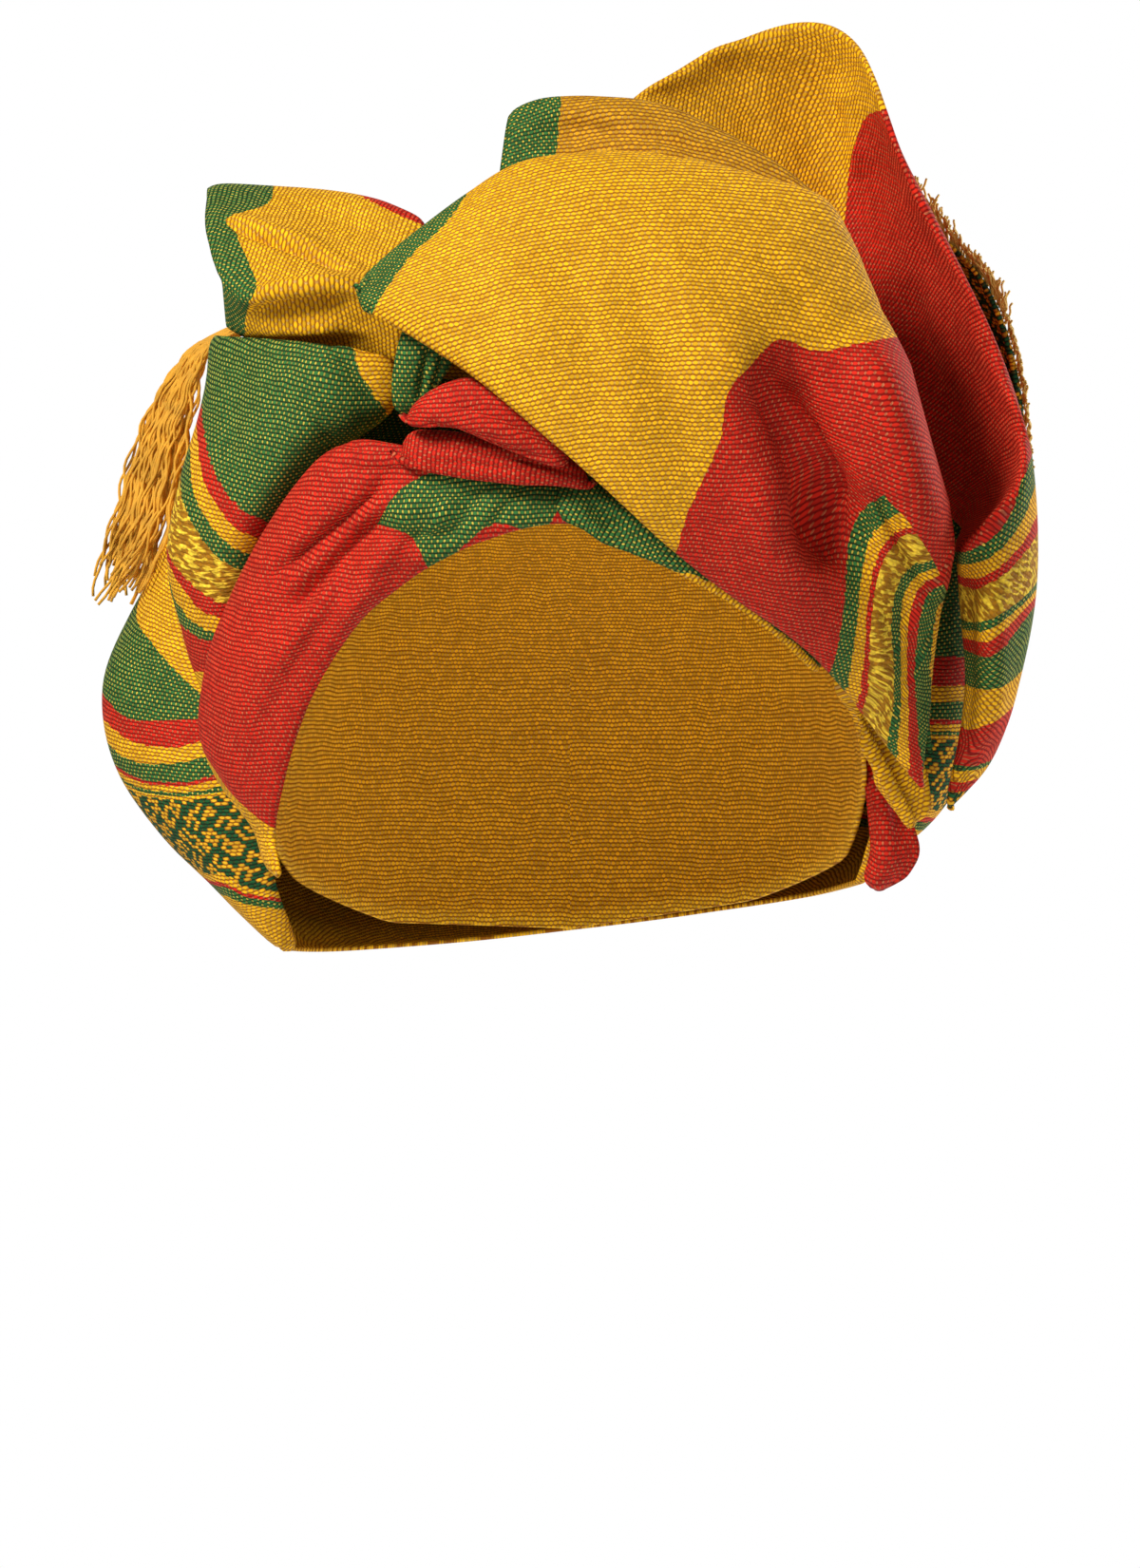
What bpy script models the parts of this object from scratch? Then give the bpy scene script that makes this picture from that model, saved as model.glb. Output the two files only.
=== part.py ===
"""A head wrap tied from one striped shawl, as worn. Blender 4.5, metres, +Z up.

The origin is the top of the head inside the wrap, +X is the right of the front view and -Y is the front.
The tables below are in millimetres. Their x and z are read as they look from straight in front, at the
depth y that stands beside them, and place() turns them into real places.
"""

import math
from collections import namedtuple

import bmesh
import bpy
import numpy as np
from mathutils import Vector
from mathutils.bvhtree import BVHTree

MM = 0.001

# Driving sizes, in millimetres
HEAD_HALF = np.array((77.0, 97.5, 108.0))
HEAD_CENTRE = np.array((0.0, 0.0, -108.0))
VIEW_DISTANCE = 2000.0
EYE_LEVEL = -96.0
CLOTH = 1.6
GAP = 0.4
CLEAR = CLOTH + GAP
CROWN_OFF_HEAD = 0.5 + CLOTH / 2
EDGE_ABOVE_BRIM = 4.0

# Colours as linear red, green, blue
RED = (0.50, 0.02, 0.015)
YELLOW = (0.78, 0.42, 0.02)
GREEN = (0.03, 0.16, 0.05)
OCHRE = (0.65, 0.26, 0.03)


def table(columns, *rows):
    row_type = namedtuple("Row", columns)
    return [row_type(*row) for row in rows]


# The front edge and the nape edge of the close layer: degrees round from the front, and height
BRIM = table(
    "turn height",
    (-180, -140), (-140, -138), (-110, -126), (-81, -107), (-75, -85), (-61, -67), (-50, -50),
    (-39, -40), (-19, -30), (0, -26), (30, -40), (47, -51), (71, -71), (88, -94), (110, -120),
    (140, -132), (180, -140),
)

# The full back, one row a level: its height at the left and at the right, how much lower the nape
# is, where it starts at the left front, how far it reaches left, right and back, and where it ends
BACK_WRAP = table(
    "z z_right sag left_x left_y left right back right_x right_y",
    (-138, -121, 6, -69, 32, -74, 74, 99, 72, 24),
    (-128, -116, 5, -76, 20, -86, 80, 114, 76, 16),
    (-116, -108, 4, -79, 14, -99, 90, 130, 80, 12),
    (-103, -98, 3, -80, 10, -112, 100, 143, 83, 12),
    (-86, -84, 2, -81, 7, -121, 107, 150, 85, 12),
    (-68, -68, 0, -82, 6, -122.5, 111, 152, 86, 12),
    (-48, -48, 0, -80, 5, -117, 113, 150, 86, 10),
    (-26, -26, 0, -76, 3, -107, 113, 143, 84, 6),
    (-5, -4, 0, -68, 0, -98, 109, 131, 78, 2),
    (15, 20, 0, -56, -2, -84, 97, 112, 66, 0),
    (31, 40, 0, -40, 4, -58, 76, 84, 46, 4),
    (40, 53, 0, -20, 12, -32, 44, 54, 24, 12),
    (45, 57, 0, -8, 16, -14, 18, 30, 10, 16),
)
# Its folds, in shares of the way round from the left front and of the way up
BACK_FOLDS = table(
    "from_x from_z to_x to_z bow width rise",
    (0.06, 0.34, 0.56, 0.70, 0.05, 0.050, -8.0),
    (0.16, 0.10, 0.80, 0.40, 0.08, 0.050, -8.0),
    (0.94, 0.30, 0.46, 0.78, -0.05, 0.050, -8.0),
    (0.96, 0.62, 0.55, 0.92, -0.02, 0.045, -6.0),
    (0.06, 0.62, 0.46, 0.92, 0.02, 0.045, -6.0),
    (0.30, 0.42, 0.66, 0.58, 0.02, 0.045, 4.0),
)

# The pleated fan at the upper left, from its open left end to its root by the twist
UPPER_LOOP = table(
    "back_x back_z back_y top_x top_z top_y dip_x dip_z dip_y ridge_x ridge_z ridge_y under_x under_z under_y",
    (-90, 36, 22, -95.0, 62.0, -4, -96.0, 51.5, -24, -92.5, 37.0, -40, -91.0, 23.5, -22),
    (-78, 34, 24, -77.5, 61.0, -8, -79.0, 48.5, -32, -83.0, 31.5, -48, -84.0, 20.0, -28),
    (-66, 32, 22, -63.0, 60.0, -12, -66.0, 43.0, -38, -70.0, 33.0, -54, -70.0, 18.0, -34),
    (-54, 33, 13, -50.0, 57.5, -20, -54.0, 39.0, -44, -56.0, 35.0, -56, -56.0, 16.5, -40),
    (-42, 34, 0, -38.0, 52.0, -30, -42.0, 35.0, -48, -43.0, 32.0, -56, -45.0, 14.0, -46),
)

# The hanging green lobe at the left, one row a level, from its hidden inner side round to its back
LOWER_LOOP = table(
    "in_x in_z in_y front_x front_z front_y left_x left_z left_y back_x back_z back_y",
    (-46, 16, -50, -68, 19.8, -50, -93.8, 21.5, -20, -88, 21, 14),
    (-46, 2, -49, -69, 5.0, -52, -94.5, 6.5, -22, -92, 6, 14),
    (-58, -8, -38, -77, -12.0, -44, -100.0, -12.0, -20, -97, -13, 14),
    (-74, -24, -30, -87, -30.0, -32, -104.5, -30.0, -14, -101, -31, 14),
    (-82, -44, -20, -92, -45.0, -22, -104.5, -43.0, -8, -102, -45, 12),
    (-85, -62, -11, -92, -62.0, -13, -100.0, -57.0, -6, -101, -60, 8),
    (-88, -76, -3, -91, -76.0, -4, -94.0, -75.0, -2, -95, -76, 2),
)

# The left band, from the twist down to the temple: its edge on the head and its loose upper edge
BAND_LEFT = table(
    "low_x low_z top_x top_z top_y bulge",
    (3, -27.0, 2, -12.0, -60, 3),
    (-8, -28.0, -12, -13.0, -64, 5),
    (-22, -32.0, -28, -9.0, -66, 7),
    (-37, -39.0, -42, -7.0, -66, 9),
    (-49, -48.0, -58, -5.5, -58, 11),
    (-60, -60.0, -69, -16.0, -44, 13),
    (-68, -73.0, -80, -34.0, -28, 13),
    (-73.5, -87.0, -90, -54.0, -15, 11),
    (-76.5, -98.0, -94.5, -73.0, -6, 9),
    (-78.0, -105.0, -94.5, -87.0, 0, 6),
    (-79.0, -111.0, -84.0, -103.5, 5, 2),
    (-77.5, -121.0, -79.5, -117.0, 11, 0.5),
)
BAND_LEFT_FOLDS = table(
    "from_x from_z to_x to_z bow width rise",
    (-42, -11, -67, -50, 2.0, 3.2, -5.5),
    (-40, -20, -62, -56, -1.0, 3.5, 3.0),
    (-52, -12, -84, -58, 3.0, 4.0, -3.5),
    (-30, -16, -44, -36, 1.0, 3.0, -3.0),
    (-56, -40, -88, -92, -4.0, 6.0, 2.5),
)

# The right underband, from the twist to the right temple
BAND_RIGHT = table(
    "low_x low_z top_x top_z bulge",
    (-4, -26.5, -3, -13.0, 1.5),
    (5, -29.5, 6, -14.0, 3),
    (15, -34.0, 17, -20.0, 3.5),
    (27, -40.0, 30, -28.0, 3),
    (40, -46.5, 43, -38.0, 2),
    (54, -56.0, 57, -49.0, 1),
    (66, -67.0, 68, -59.0, 0.5),
)
BAND_RIGHT_FOLDS = table(
    "from_x from_z to_x to_z bow width rise",
    (2, -22, 16, -30, -1.5, 2.0, -4.0),
    (4, -31, 24, -40, -1.0, 2.5, 2.0),
)

# The strands of the twist: middle line, half width and how far the middle stands out
KNOT_LOWER = table(
    "x z y half lean bulge",
    (-45, -8, -70, 4.5, 0.2, 2),
    (-38, -8.5, -74, 5.5, 0.1, 3),
    (-27, -10.0, -76, 6.0, 0.0, 4),
    (-14, -12.0, -77, 5.5, -0.1, 4),
    (-3, -13.5, -76, 4.5, -0.2, 3),
    (6, -17.0, -74, 3.5, -0.3, 2),
)
KNOT_UPPER = table(
    "x z y half lean bulge",
    (-44, 0, -80, 2.5, 0.3, 1),
    (-38, 2.5, -82, 5.0, 0.35, 3),
    (-29, 3.5, -84, 7.5, 0.3, 4),
    (-18, 0.0, -85, 8.0, 0.2, 4),
    (-8, -5.0, -84, 6.5, 0.0, 3),
    (0, -10.0, -83, 4.5, -0.2, 2),
)
KNOT_SIDE = table(
    "x z y half lean bulge",
    (-42, 0, -68, 4.0, 1.57, 1),
    (-41, 7, -71, 6.0, 1.57, 2),
    (-38, 16, -74, 8.0, 1.57, 3),
    (-34, 25, -75, 9.5, 1.57, 3),
    (-30, 34, -71, 9.5, 1.57, 2),
)

# The tuck at the right temple, from under the front loop down to the head's side
TUCK_YELLOW = table(
    "in_x in_z in_y ridge_x ridge_z ridge_y groove_x groove_z groove_y out_x out_z out_y",
    (65, -66, -34, 68.0, -64.5, -36, 70.0, -63.0, -34, 73.0, -61, -34),
    (70.5, -77, -22, 74.5, -75.0, -26, 77.0, -73.0, -23, 81.0, -71, -23),
    (76, -90, -14, 81.0, -87.5, -18, 83.5, -85.0, -14, 88.0, -83, -15),
    (83, -101, -11, 86.5, -98.5, -14, 89.5, -96.0, -10, 93.5, -94, -11),
    (89, -109, -7, 91.0, -107.5, -9, 92.5, -106.0, -6, 94.2, -104, -7),
)
TUCK_RED = table(
    "in_x in_z in_y mid_x mid_z mid_y out_x out_z out_y",
    (75.0, -88, 8, 77.8, -87, 6, 80.5, -86, 8),
    (75.8, -97, 7, 79.8, -96, 4, 84.0, -95, 7),
    (76.6, -106, 5, 82.0, -106, 1, 88.5, -105, 5),
    (77.0, -115, 5, 83.0, -116, 1, 91.0, -114, 5),
    (76.6, -122, 9, 80.5, -123, 6, 86.0, -121, 9),
)

# The front loop, from its left tip to the tuck at the right: lower edge, crest, how far the front
# bellies out, half the thickness of the rolled crest, and how far the cloth comes down behind it
FRONT_FAN = table(
    "low_x low_z low_y top_x top_z top_y belly roll drop",
    (-55.5, 28.8, -80, -56.3, 35.5, -80, 1, 2.0, 4),
    (-42.5, 22.0, -86, -36.0, 52.0, -74, 5, 4.0, 24),
    (-25.0, 10.5, -92, -13.8, 66.5, -71, 9, 5.0, 38),
    (-10.0, -2.0, -94, 12.5, 70.0, -69, 12, 6.0, 44),
    (2.5, -12.5, -93, 40.0, 65.5, -67, 14, 6.5, 46),
    (17.5, -26.2, -88, 67.5, 57.5, -64, 15, 6.5, 46),
    (30.0, -37.5, -79, 76.3, 41.3, -65, 15, 7.0, 42),
    (45.0, -49.3, -70, 83.8, 20.0, -67, 13, 8.0, 38),
    (57.5, -58.8, -60, 89.5, 0.0, -65, 11, 8.0, 34),
    (67.0, -67.5, -48, 94.5, -17.5, -58, 9, 7.5, 28),
    (76.3, -77.5, -38, 99.5, -33.8, -48, 7, 5.0, 20),
    (85.0, -88.8, -30, 95.5, -60.0, -36, 4, 3.0, 11),
    (93.0, -98.0, -24, 94.0, -84.0, -27, 1, 1.5, 5),
)
FRONT_FAN_FOLDS = table(
    "from_x from_z to_x to_z bow width rise",
    (44, 14, 84, -46, -3.0, 7.0, -9.0),
    (70, 22, 98, -34, 3.0, 6.0, 3.0),
    (6, 50, 34, -24, 6.0, 9.0, -3.0),
    (-30, 46, -4, 6, 3.0, 7.0, 1.5),
)

# The ochre roll behind the front loop, in the same columns
MIDDLE_FOLD = table(
    "low_x low_z low_y top_x top_z top_y belly roll drop",
    (-20.5, 50.0, -62, -16.0, 81.0, -47, 3, 3.5, 26),
    (-8.0, 48.0, -63, -6.0, 83.7, -47, 4, 5.0, 34),
    (8.0, 46.0, -63, 10.0, 83.8, -47, 4, 5.0, 38),
    (28.0, 44.0, -62, 24.0, 82.0, -47, 4, 4.5, 38),
    (42.0, 40.0, -61, 37.0, 76.5, -47, 4, 4.0, 36),
    (54.0, 34.0, -59, 51.0, 69.0, -47, 3, 4.0, 32),
    (62.0, 30.0, -55, 64.0, 59.0, -49, 3, 3.5, 26),
    (68.0, 28.0, -53, 70.0, 52.0, -51, 2, 3.0, 18),
)
MIDDLE_FOLD_FOLDS = table(
    "from_x from_z to_x to_z bow width rise",
    (-14, 74, 20, 66, 2.0, 4.0, -2.0),
    (10, 74, 60, 50, 3.0, 4.0, 2.0),
)

# The rear loop by spokes, from the top left round its lip to the foot of the hollow: the hollow's
# floor, the lip, the side past the lip, and the end of the cloth
REAR_FAN = table(
    "floor_x floor_z floor_y lip_x lip_z lip_y side_x side_z side_y end_x end_z end_y hollow roll",
    (10.0, 72.0, -26, 13.8, 83.0, -22, 14.0, 78.0, -8, 16.0, 62.0, 22, 1, 1.5),
    (25.0, 66.0, -24, 26.0, 89.8, -16, 27.0, 84.0, 0, 28.0, 60.0, 30, 3, 2.5),
    (37.0, 60.0, -22, 37.5, 96.3, -12, 38.0, 88.0, 8, 38.0, 57.0, 38, 5, 3.0),
    (49.0, 52.0, -18, 50.0, 103.0, -8, 50.0, 93.0, 12, 50.0, 52.0, 44, 7, 3.5),
    (58.0, 45.0, -14, 64.5, 106.6, -8, 62.0, 95.0, 14, 60.0, 47.0, 48, 9, 3.5),
    (65.0, 37.0, -8, 75.5, 103.5, -16, 73.0, 91.0, 8, 71.0, 42.0, 48, 11, 3.5),
    (71.0, 28.0, -4, 80.3, 94.5, -27, 78.0, 84.0, -4, 79.0, 38.0, 44, 12, 3.0),
    (76.0, 17.0, -2, 81.5, 80.0, -34, 80.0, 70.0, -10, 86.0, 33.0, 42, 12, 3.0),
    (80.0, 7.0, -2, 88.0, 68.5, -36, 86.5, 59.0, -12, 93.0, 26.0, 38, 12, 3.5),
    (84.0, -3.0, -4, 96.5, 52.5, -36, 95.0, 44.0, -14, 101.0, 16.0, 34, 11, 4.0),
    (88.0, -11.0, -8, 104.0, 37.5, -38, 103.5, 29.0, -14, 109.0, 2.0, 30, 10, 4.5),
    (92.0, -18.0, -8, 111.5, 20.0, -40, 111.5, 11.0, -16, 114.5, -16.0, 26, 8, 5.0),
    (96.5, -23.0, -12, 118.0, 3.0, -43, 119.0, -8.0, -20, 118.5, -42.0, 20, 6, 5.0),
    (100.0, -26.0, -16, 120.5, -9.5, -46, 122.5, -26.0, -28, 115.0, -76.0, 12, 4, 5.0),
    (102.0, -28.0, -20, 117.0, -20.0, -50, 120.0, -42.0, -36, 110.0, -92.0, 4, 2, 5.0),
    (102.5, -29.5, -24, 110.0, -28.5, -53, 111.0, -48.0, -42, 104.5, -99.0, -2, 0, 4.0),
    (102.0, -31.5, -26, 104.0, -33.0, -50, 104.5, -49.0, -36, 100.5, -103.0, -4, 0, 3.0),
    (101.0, -34.0, -26, 101.5, -38.0, -36, 101.5, -49.0, -22, 98.5, -104.0, 0, 0, 2.0),
)
REAR_FAN_FOLDS = table(
    "from_x from_z to_x to_z bow width rise",
    (70, 92, 78, 62, 3.0, 4.0, -3.0),
    (52, 92, 74, 50, -3.0, 7.0, -3.0),
    (110, -40, 106, -90, 2.0, 6.0, 2.0),
)

# The figured end of the shawl behind the hollow: its fringed outer edge and its inner side
TAIL_RIGHT = table(
    "edge_x edge_z edge_y in_x in_z in_y bulge",
    (88.0, 57.0, 30, 81.0, 41.0, 54, 1),
    (98.5, 48.5, 20, 90.0, 28.0, 46, 2),
    (107.5, 39.5, 18, 98.0, 18.0, 44, 2.5),
    (114.0, 27.5, 18, 104.0, 6.0, 44, 3),
    (118.0, 12.5, 20, 108.5, -8.0, 44, 3),
    (120.0, -3.0, 22, 111.5, -21.0, 44, 2),
    (120.5, -18.0, 26, 112.5, -35.0, 46, 1),
    (119.5, -32.0, 30, 112.5, -47.0, 48, 1),
)

# The left fringe hangs as a curtain down the back's left side: its front and back limits by level
FRINGE_LEFT = table(
    "z front_x front_y back_x back_y",
    (25, -91, 20, -92, 60),
    (14, -97, 22, -102, 66),
    (0, -100, 24, -110, 70),
    (-15, -103, 26, -114, 72),
    (-32, -108, 28, -117, 74),
    (-49, -115, 30, -122, 74),
)
LEFT_LOCKS = 8
RIGHT_LOCKS = 12
LOCK_SIDES = 5

NODES = {}


def place(points):
    """Real places of points given as they look from the front, at their depth."""
    x, y, z = np.moveaxis(np.asarray(points, float), -1, 0)
    nearer = (VIEW_DISTANCE + y) / VIEW_DISTANCE
    return np.stack((x * nearer, y, EYE_LEVEL + (z - EYE_LEVEL) * nearer), axis=-1)


def head_depth(x, z, off):
    """Depth of the head's front at a place of the front view, a given distance off the head."""
    half = HEAD_HALF + off
    y = 0.0
    for _ in range(4):
        real = place((x, y, z))
        left = 1 - (real[0] / half[0]) ** 2 - ((real[2] - HEAD_CENTRE[2]) / half[2]) ** 2
        y = -half[1] * math.sqrt(max(left, 0.0))
    return y


def clear_of_head(points, off):
    """Moves points that are nearer to the head than a distance out to it."""
    from_centre = points - HEAD_CENTRE
    out = np.linalg.norm(from_centre / (HEAD_HALF + off), axis=-1, keepdims=True)
    return HEAD_CENTRE + from_centre / np.minimum(out, 1.0)


def curve_at(points, at, tight=0.0):
    """The smooth curve through points, at places counted in points. Tight 1 gives straight runs."""
    points = np.asarray(points, float)
    last = len(points) - 1
    at = np.clip(at, 0, last)
    start = np.minimum(at.astype(int), last - 1)
    t = (at - start).reshape((-1,) + (1,) * (points.ndim - 1))
    before = np.where(
        (start > 0).reshape(t.shape), points[start - 1], 2 * points[start] - points[start + 1]
    )
    after = np.where(
        (start < last - 1).reshape(t.shape),
        points[np.minimum(start + 2, last)],
        2 * points[start + 1] - points[start],
    )
    ease = (1 - tight) / 2
    slope_a = ease * (points[start + 1] - before) + tight * (points[start + 1] - points[start])
    slope_b = ease * (after - points[start]) + tight * (points[start + 1] - points[start])
    square = t * t
    cube = square * t
    return (
        (2 * cube - 3 * square + 1) * points[start]
        + (cube - 2 * square + t) * slope_a
        + (3 * square - 2 * cube) * points[start + 1]
        + (cube - square) * slope_b
    )


def even_steps(points, count, tight=0.0):
    """Places along a curve, counted in its points, that are the same distance apart."""
    fine = np.linspace(0, len(points) - 1, 12 * (len(points) - 1) + 1)
    run = curve_at(points, fine, tight)
    lengths = np.linalg.norm(np.diff(run.reshape(len(fine), -1, 3), axis=0), axis=2).mean(axis=1)
    total = np.concatenate(((0,), np.cumsum(lengths)))
    return np.interp(np.linspace(0, total[-1], count), total, fine)


def sheet_grid(sections, along, across, tight=0.0):
    """A grid of points over a sheet, from its sections, each a list of (x, y, z)."""
    profiles = [curve_at(s, even_steps(s, across + 1, tight), tight) for s in sections]
    profiles = np.array(profiles)
    return curve_at(profiles, even_steps(profiles, along + 1))


def grid_normals(grid):
    """The way each point of a grid faces."""
    along = np.gradient(grid, axis=0)
    across = np.gradient(grid, axis=1)
    normal = np.cross(along, across)
    return normal / np.maximum(np.linalg.norm(normal, axis=2, keepdims=True), 1e-9)


def outward(grid, centre=None):
    """The way each point of a grid faces, turned away from a centre, or else from the grid's own middle."""
    normals = grid_normals(grid)
    middle = grid.mean(axis=(0, 1)) if centre is None else centre
    return normals * (1 if (normals * (grid - middle)).sum() > 0 else -1)


def folded(grid, plane, folds, centre=None, last=1.0):
    """Raises or sinks a grid along folds drawn on a plane of two numbers a point."""
    height = np.zeros(grid.shape[:2])
    share = np.linspace(0, 1, grid.shape[1])[None, :]
    kept = np.clip((last - share) / 0.1, 0, 1)
    for fold in folds:
        start = np.array((fold.from_x, fold.from_z))
        run = np.array((fold.to_x, fold.to_z)) - start
        length = np.linalg.norm(run)
        ahead = run / length
        side = np.array((-ahead[1], ahead[0]))
        t = (plane - start) @ ahead / length
        inside = np.clip(t, 0, 1)
        off = (plane - start) @ side - 4 * fold.bow * inside * (1 - inside)
        past = (t - inside) * length
        ends = np.clip(np.minimum(inside, 1 - inside) / 0.25, 0.15, 1)
        height += fold.rise * ends * np.exp(-(off**2 + past**2) / fold.width**2)
    return grid + (height * kept)[:, :, None] * outward(grid, centre)


def front_plane(grid):
    """The front view's x and z of a grid of real places."""
    nearer = (VIEW_DISTANCE + grid[:, :, 1]) / VIEW_DISTANCE
    return np.stack((grid[:, :, 0] / nearer, EYE_LEVEL + (grid[:, :, 2] - EYE_LEVEL) / nearer), axis=2)


def softened(field):
    """A grid of shifts, each evened out with its neighbours."""
    padded = np.pad(field, ((1, 1), (1, 1), (0, 0)), mode="edge")
    return (padded[:-2, 1:-1] + padded[2:, 1:-1] + padded[1:-1, :-2] + padded[1:-1, 2:]) / 8 + field / 2


def corners_of(rows, columns):
    index = np.arange(rows * columns).reshape(rows, columns)
    faces = np.stack((index[:-1, :-1], index[1:, :-1], index[1:, 1:], index[:-1, 1:]), axis=2)
    return faces.reshape(-1, 4)


def tree_of(grid):
    """A grid as quads that can be searched."""
    points = [Vector(p) for p in grid.reshape(-1, 3)]
    return BVHTree.FromPolygons(points, corners_of(*grid.shape[:2]).tolist())


def sheet_surface(grid, centre):
    """What later sheets need of a finished one: its points, the way they face, and a search tree."""
    return grid.reshape(-1, 3), outward(grid, centre).reshape(-1, 3), tree_of(grid), grid.shape


def facing_at(surface, quad, near):
    """The outward way of a finished sheet at a place on one of its quads."""
    points, ways, _, shape = surface
    row, column = divmod(quad, shape[1] - 1)
    corners = [row * shape[1] + column, (row + 1) * shape[1] + column]
    corners += [corners[0] + 1, corners[1] + 1]
    weight = 1.0 / (np.linalg.norm(points[corners] - near, axis=1) + 0.5)
    way = (ways[corners] * weight[:, None]).sum(axis=0)
    return way / np.linalg.norm(way)


def pushed_off(grid, surfaces, clear, reach=14.0):
    """The shift that takes each point of a grid clear of the sheets beneath it."""
    shift = np.zeros_like(grid)
    for at in np.ndindex(grid.shape[:2]):
        for surface in surfaces:
            point = grid[at] + shift[at]
            near, _, quad, distance = surface[2].find_nearest(Vector(point), reach)
            if near is None:
                continue
            way = facing_at(surface, quad, np.array(near))
            height = (point - np.array(near)) @ way
            aside = math.sqrt(max(distance**2 - height**2, 0.0))
            if height < clear and aside < clear:
                shift[at] += way * (clear - height)
    return shift


def lifted_by(grid, surfaces, clear, reach=14.0):
    """The shift that takes a grid's quads clear of the points of the sheets beneath it."""
    shift = np.zeros_like(grid)
    low, high = grid.min(axis=(0, 1)) - clear, grid.max(axis=(0, 1)) + clear
    tree = tree_of(grid)
    for points, ways, _, _ in surfaces:
        inside = ((points > low) & (points < high)).all(axis=1)
        for point, way in zip(points[inside], ways[inside]):
            near, _, quad, distance = tree.find_nearest(Vector(point), reach)
            if near is None:
                continue
            height = (np.array(near) - point) @ way
            aside = math.sqrt(max(distance**2 - height**2, 0.0))
            if height >= clear or aside >= clear:
                continue
            row, column = divmod(quad, grid.shape[1] - 1)
            for at in ((row, column), (row + 1, column), (row, column + 1), (row + 1, column + 1)):
                if (clear - height) > np.linalg.norm(shift[at]):
                    shift[at] = way * (clear - height)
    return shift


def laid_over(grid, under, clear=CLEAR):
    """Lays a grid over earlier sheets and the head's close layer."""
    surfaces = [NODES[name] for name in under]
    off_head = CROWN_OFF_HEAD + clear
    for _ in range(4):
        grid = clear_of_head(grid, off_head)
        grid = grid + softened(softened(pushed_off(grid, surfaces, clear)))
        grid = grid + softened(lifted_by(grid, surfaces, clear))
    for _ in range(4):
        grid = clear_of_head(grid, off_head)
        grid = grid + pushed_off(grid, surfaces, clear)
        grid = grid + lifted_by(grid, surfaces, clear)
    return grid


def material(name, colour):
    made = bpy.data.materials.new(name)
    made.use_nodes = True
    shader = made.node_tree.nodes["Principled BSDF"]
    shader.inputs["Base Color"].default_value = (*colour, 1.0)
    shader.inputs["Roughness"].default_value = 0.8
    shader.inputs["Metallic"].default_value = 0.0
    return made


def sheet_object(name, grid, colour, collection, centre=None):
    """Makes a sheet of cloth of even thickness from a grid, and keeps its surface for later sheets."""
    NODES[name] = sheet_surface(grid, centre)
    mesh = bpy.data.meshes.new(name)
    mesh.from_pydata((grid.reshape(-1, 3) * MM).tolist(), [], corners_of(*grid.shape[:2]).tolist())
    return cloth_object(name, mesh, colour, collection)


def cloth_object(name, mesh, colour, collection):
    mesh.shade_smooth()
    made = bpy.data.objects.new(name, mesh)
    made.data.materials.append(material(name, colour))
    collection.objects.link(made)
    solid = made.modifiers.new("Cloth", "SOLIDIFY")
    solid.thickness = CLOTH * MM
    solid.offset = 0.0
    solid.use_quality_normals = True
    return made


def crown_wrap(collection):
    """The close layer: the head's own form, cut off at the brim and the nape."""
    rings, steps = 7, 28
    half = HEAD_HALF + CROWN_OFF_HEAD
    turns = np.linspace(-180, 180, steps, endpoint=False)
    edge = np.interp(turns, [r.turn for r in BRIM], [r.height for r in BRIM]) + EDGE_ABOVE_BRIM
    lowest = np.arccos(np.clip((edge - HEAD_CENTRE[2]) / half[2], -1, 1))
    mesh = bmesh.new()
    top = mesh.verts.new(Vector((0.0, 0.0, half[2] + HEAD_CENTRE[2])) * MM)
    loops = []
    for ring in range(1, rings + 1):
        tilt = lowest * ring / rings
        turn = np.radians(turns)
        x = half[0] * np.sin(tilt) * np.sin(turn)
        y = -half[1] * np.sin(tilt) * np.cos(turn)
        z = half[2] * np.cos(tilt) + HEAD_CENTRE[2]
        loops.append([mesh.verts.new(Vector(p) * MM) for p in zip(x, y, z)])
    for i in range(steps):
        j = (i + 1) % steps
        mesh.faces.new((top, loops[0][i], loops[0][j]))
        for inner, outer in zip(loops, loops[1:]):
            mesh.faces.new((inner[i], outer[i], outer[j], inner[j]))
    data = bpy.data.meshes.new("crown_wrap")
    mesh.to_mesh(data)
    mesh.free()
    cloth_object("crown_wrap", data, YELLOW, collection)


def back_section(row):
    """One level of the full back, from its left front round to its right front."""
    side_y = 0.30 * row.back + 0.5 * row.left_y
    outline = [
        (row.left_x, row.left_y),
        ((row.left_x + row.left) / 2 - 4, (row.left_y + side_y) / 2 - 12),
        (row.left, side_y),
        (0.80 * row.left, 0.76 * row.back),
        (0.38 * row.left, 0.97 * row.back),
        (0.0, row.back),
        (0.38 * row.right, 0.97 * row.back),
        (0.80 * row.right, 0.76 * row.back),
        (row.right, side_y),
        ((row.right_x + row.right) / 2 + 4, (row.right_y + side_y) / 2 - 12),
        (row.right_x, row.right_y),
    ]
    section = []
    for x, y in outline:
        z = np.interp(x, (row.left, row.right), (row.z, row.z_right))
        section.append((x, y, z - row.sag * np.clip(y / row.back, 0, 1)))
    return section


def back_wrap(collection):
    grid = place(sheet_grid([back_section(row) for row in BACK_WRAP], along=13, across=26))
    share = np.stack(
        np.meshgrid(np.linspace(0, 1, grid.shape[1]), np.linspace(0, 1, grid.shape[0])), axis=2
    )
    grid = folded(grid, share, BACK_FOLDS, HEAD_CENTRE)
    grid = laid_over(grid, [])
    sheet_object("back_wrap", grid, YELLOW, collection, HEAD_CENTRE)


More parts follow.
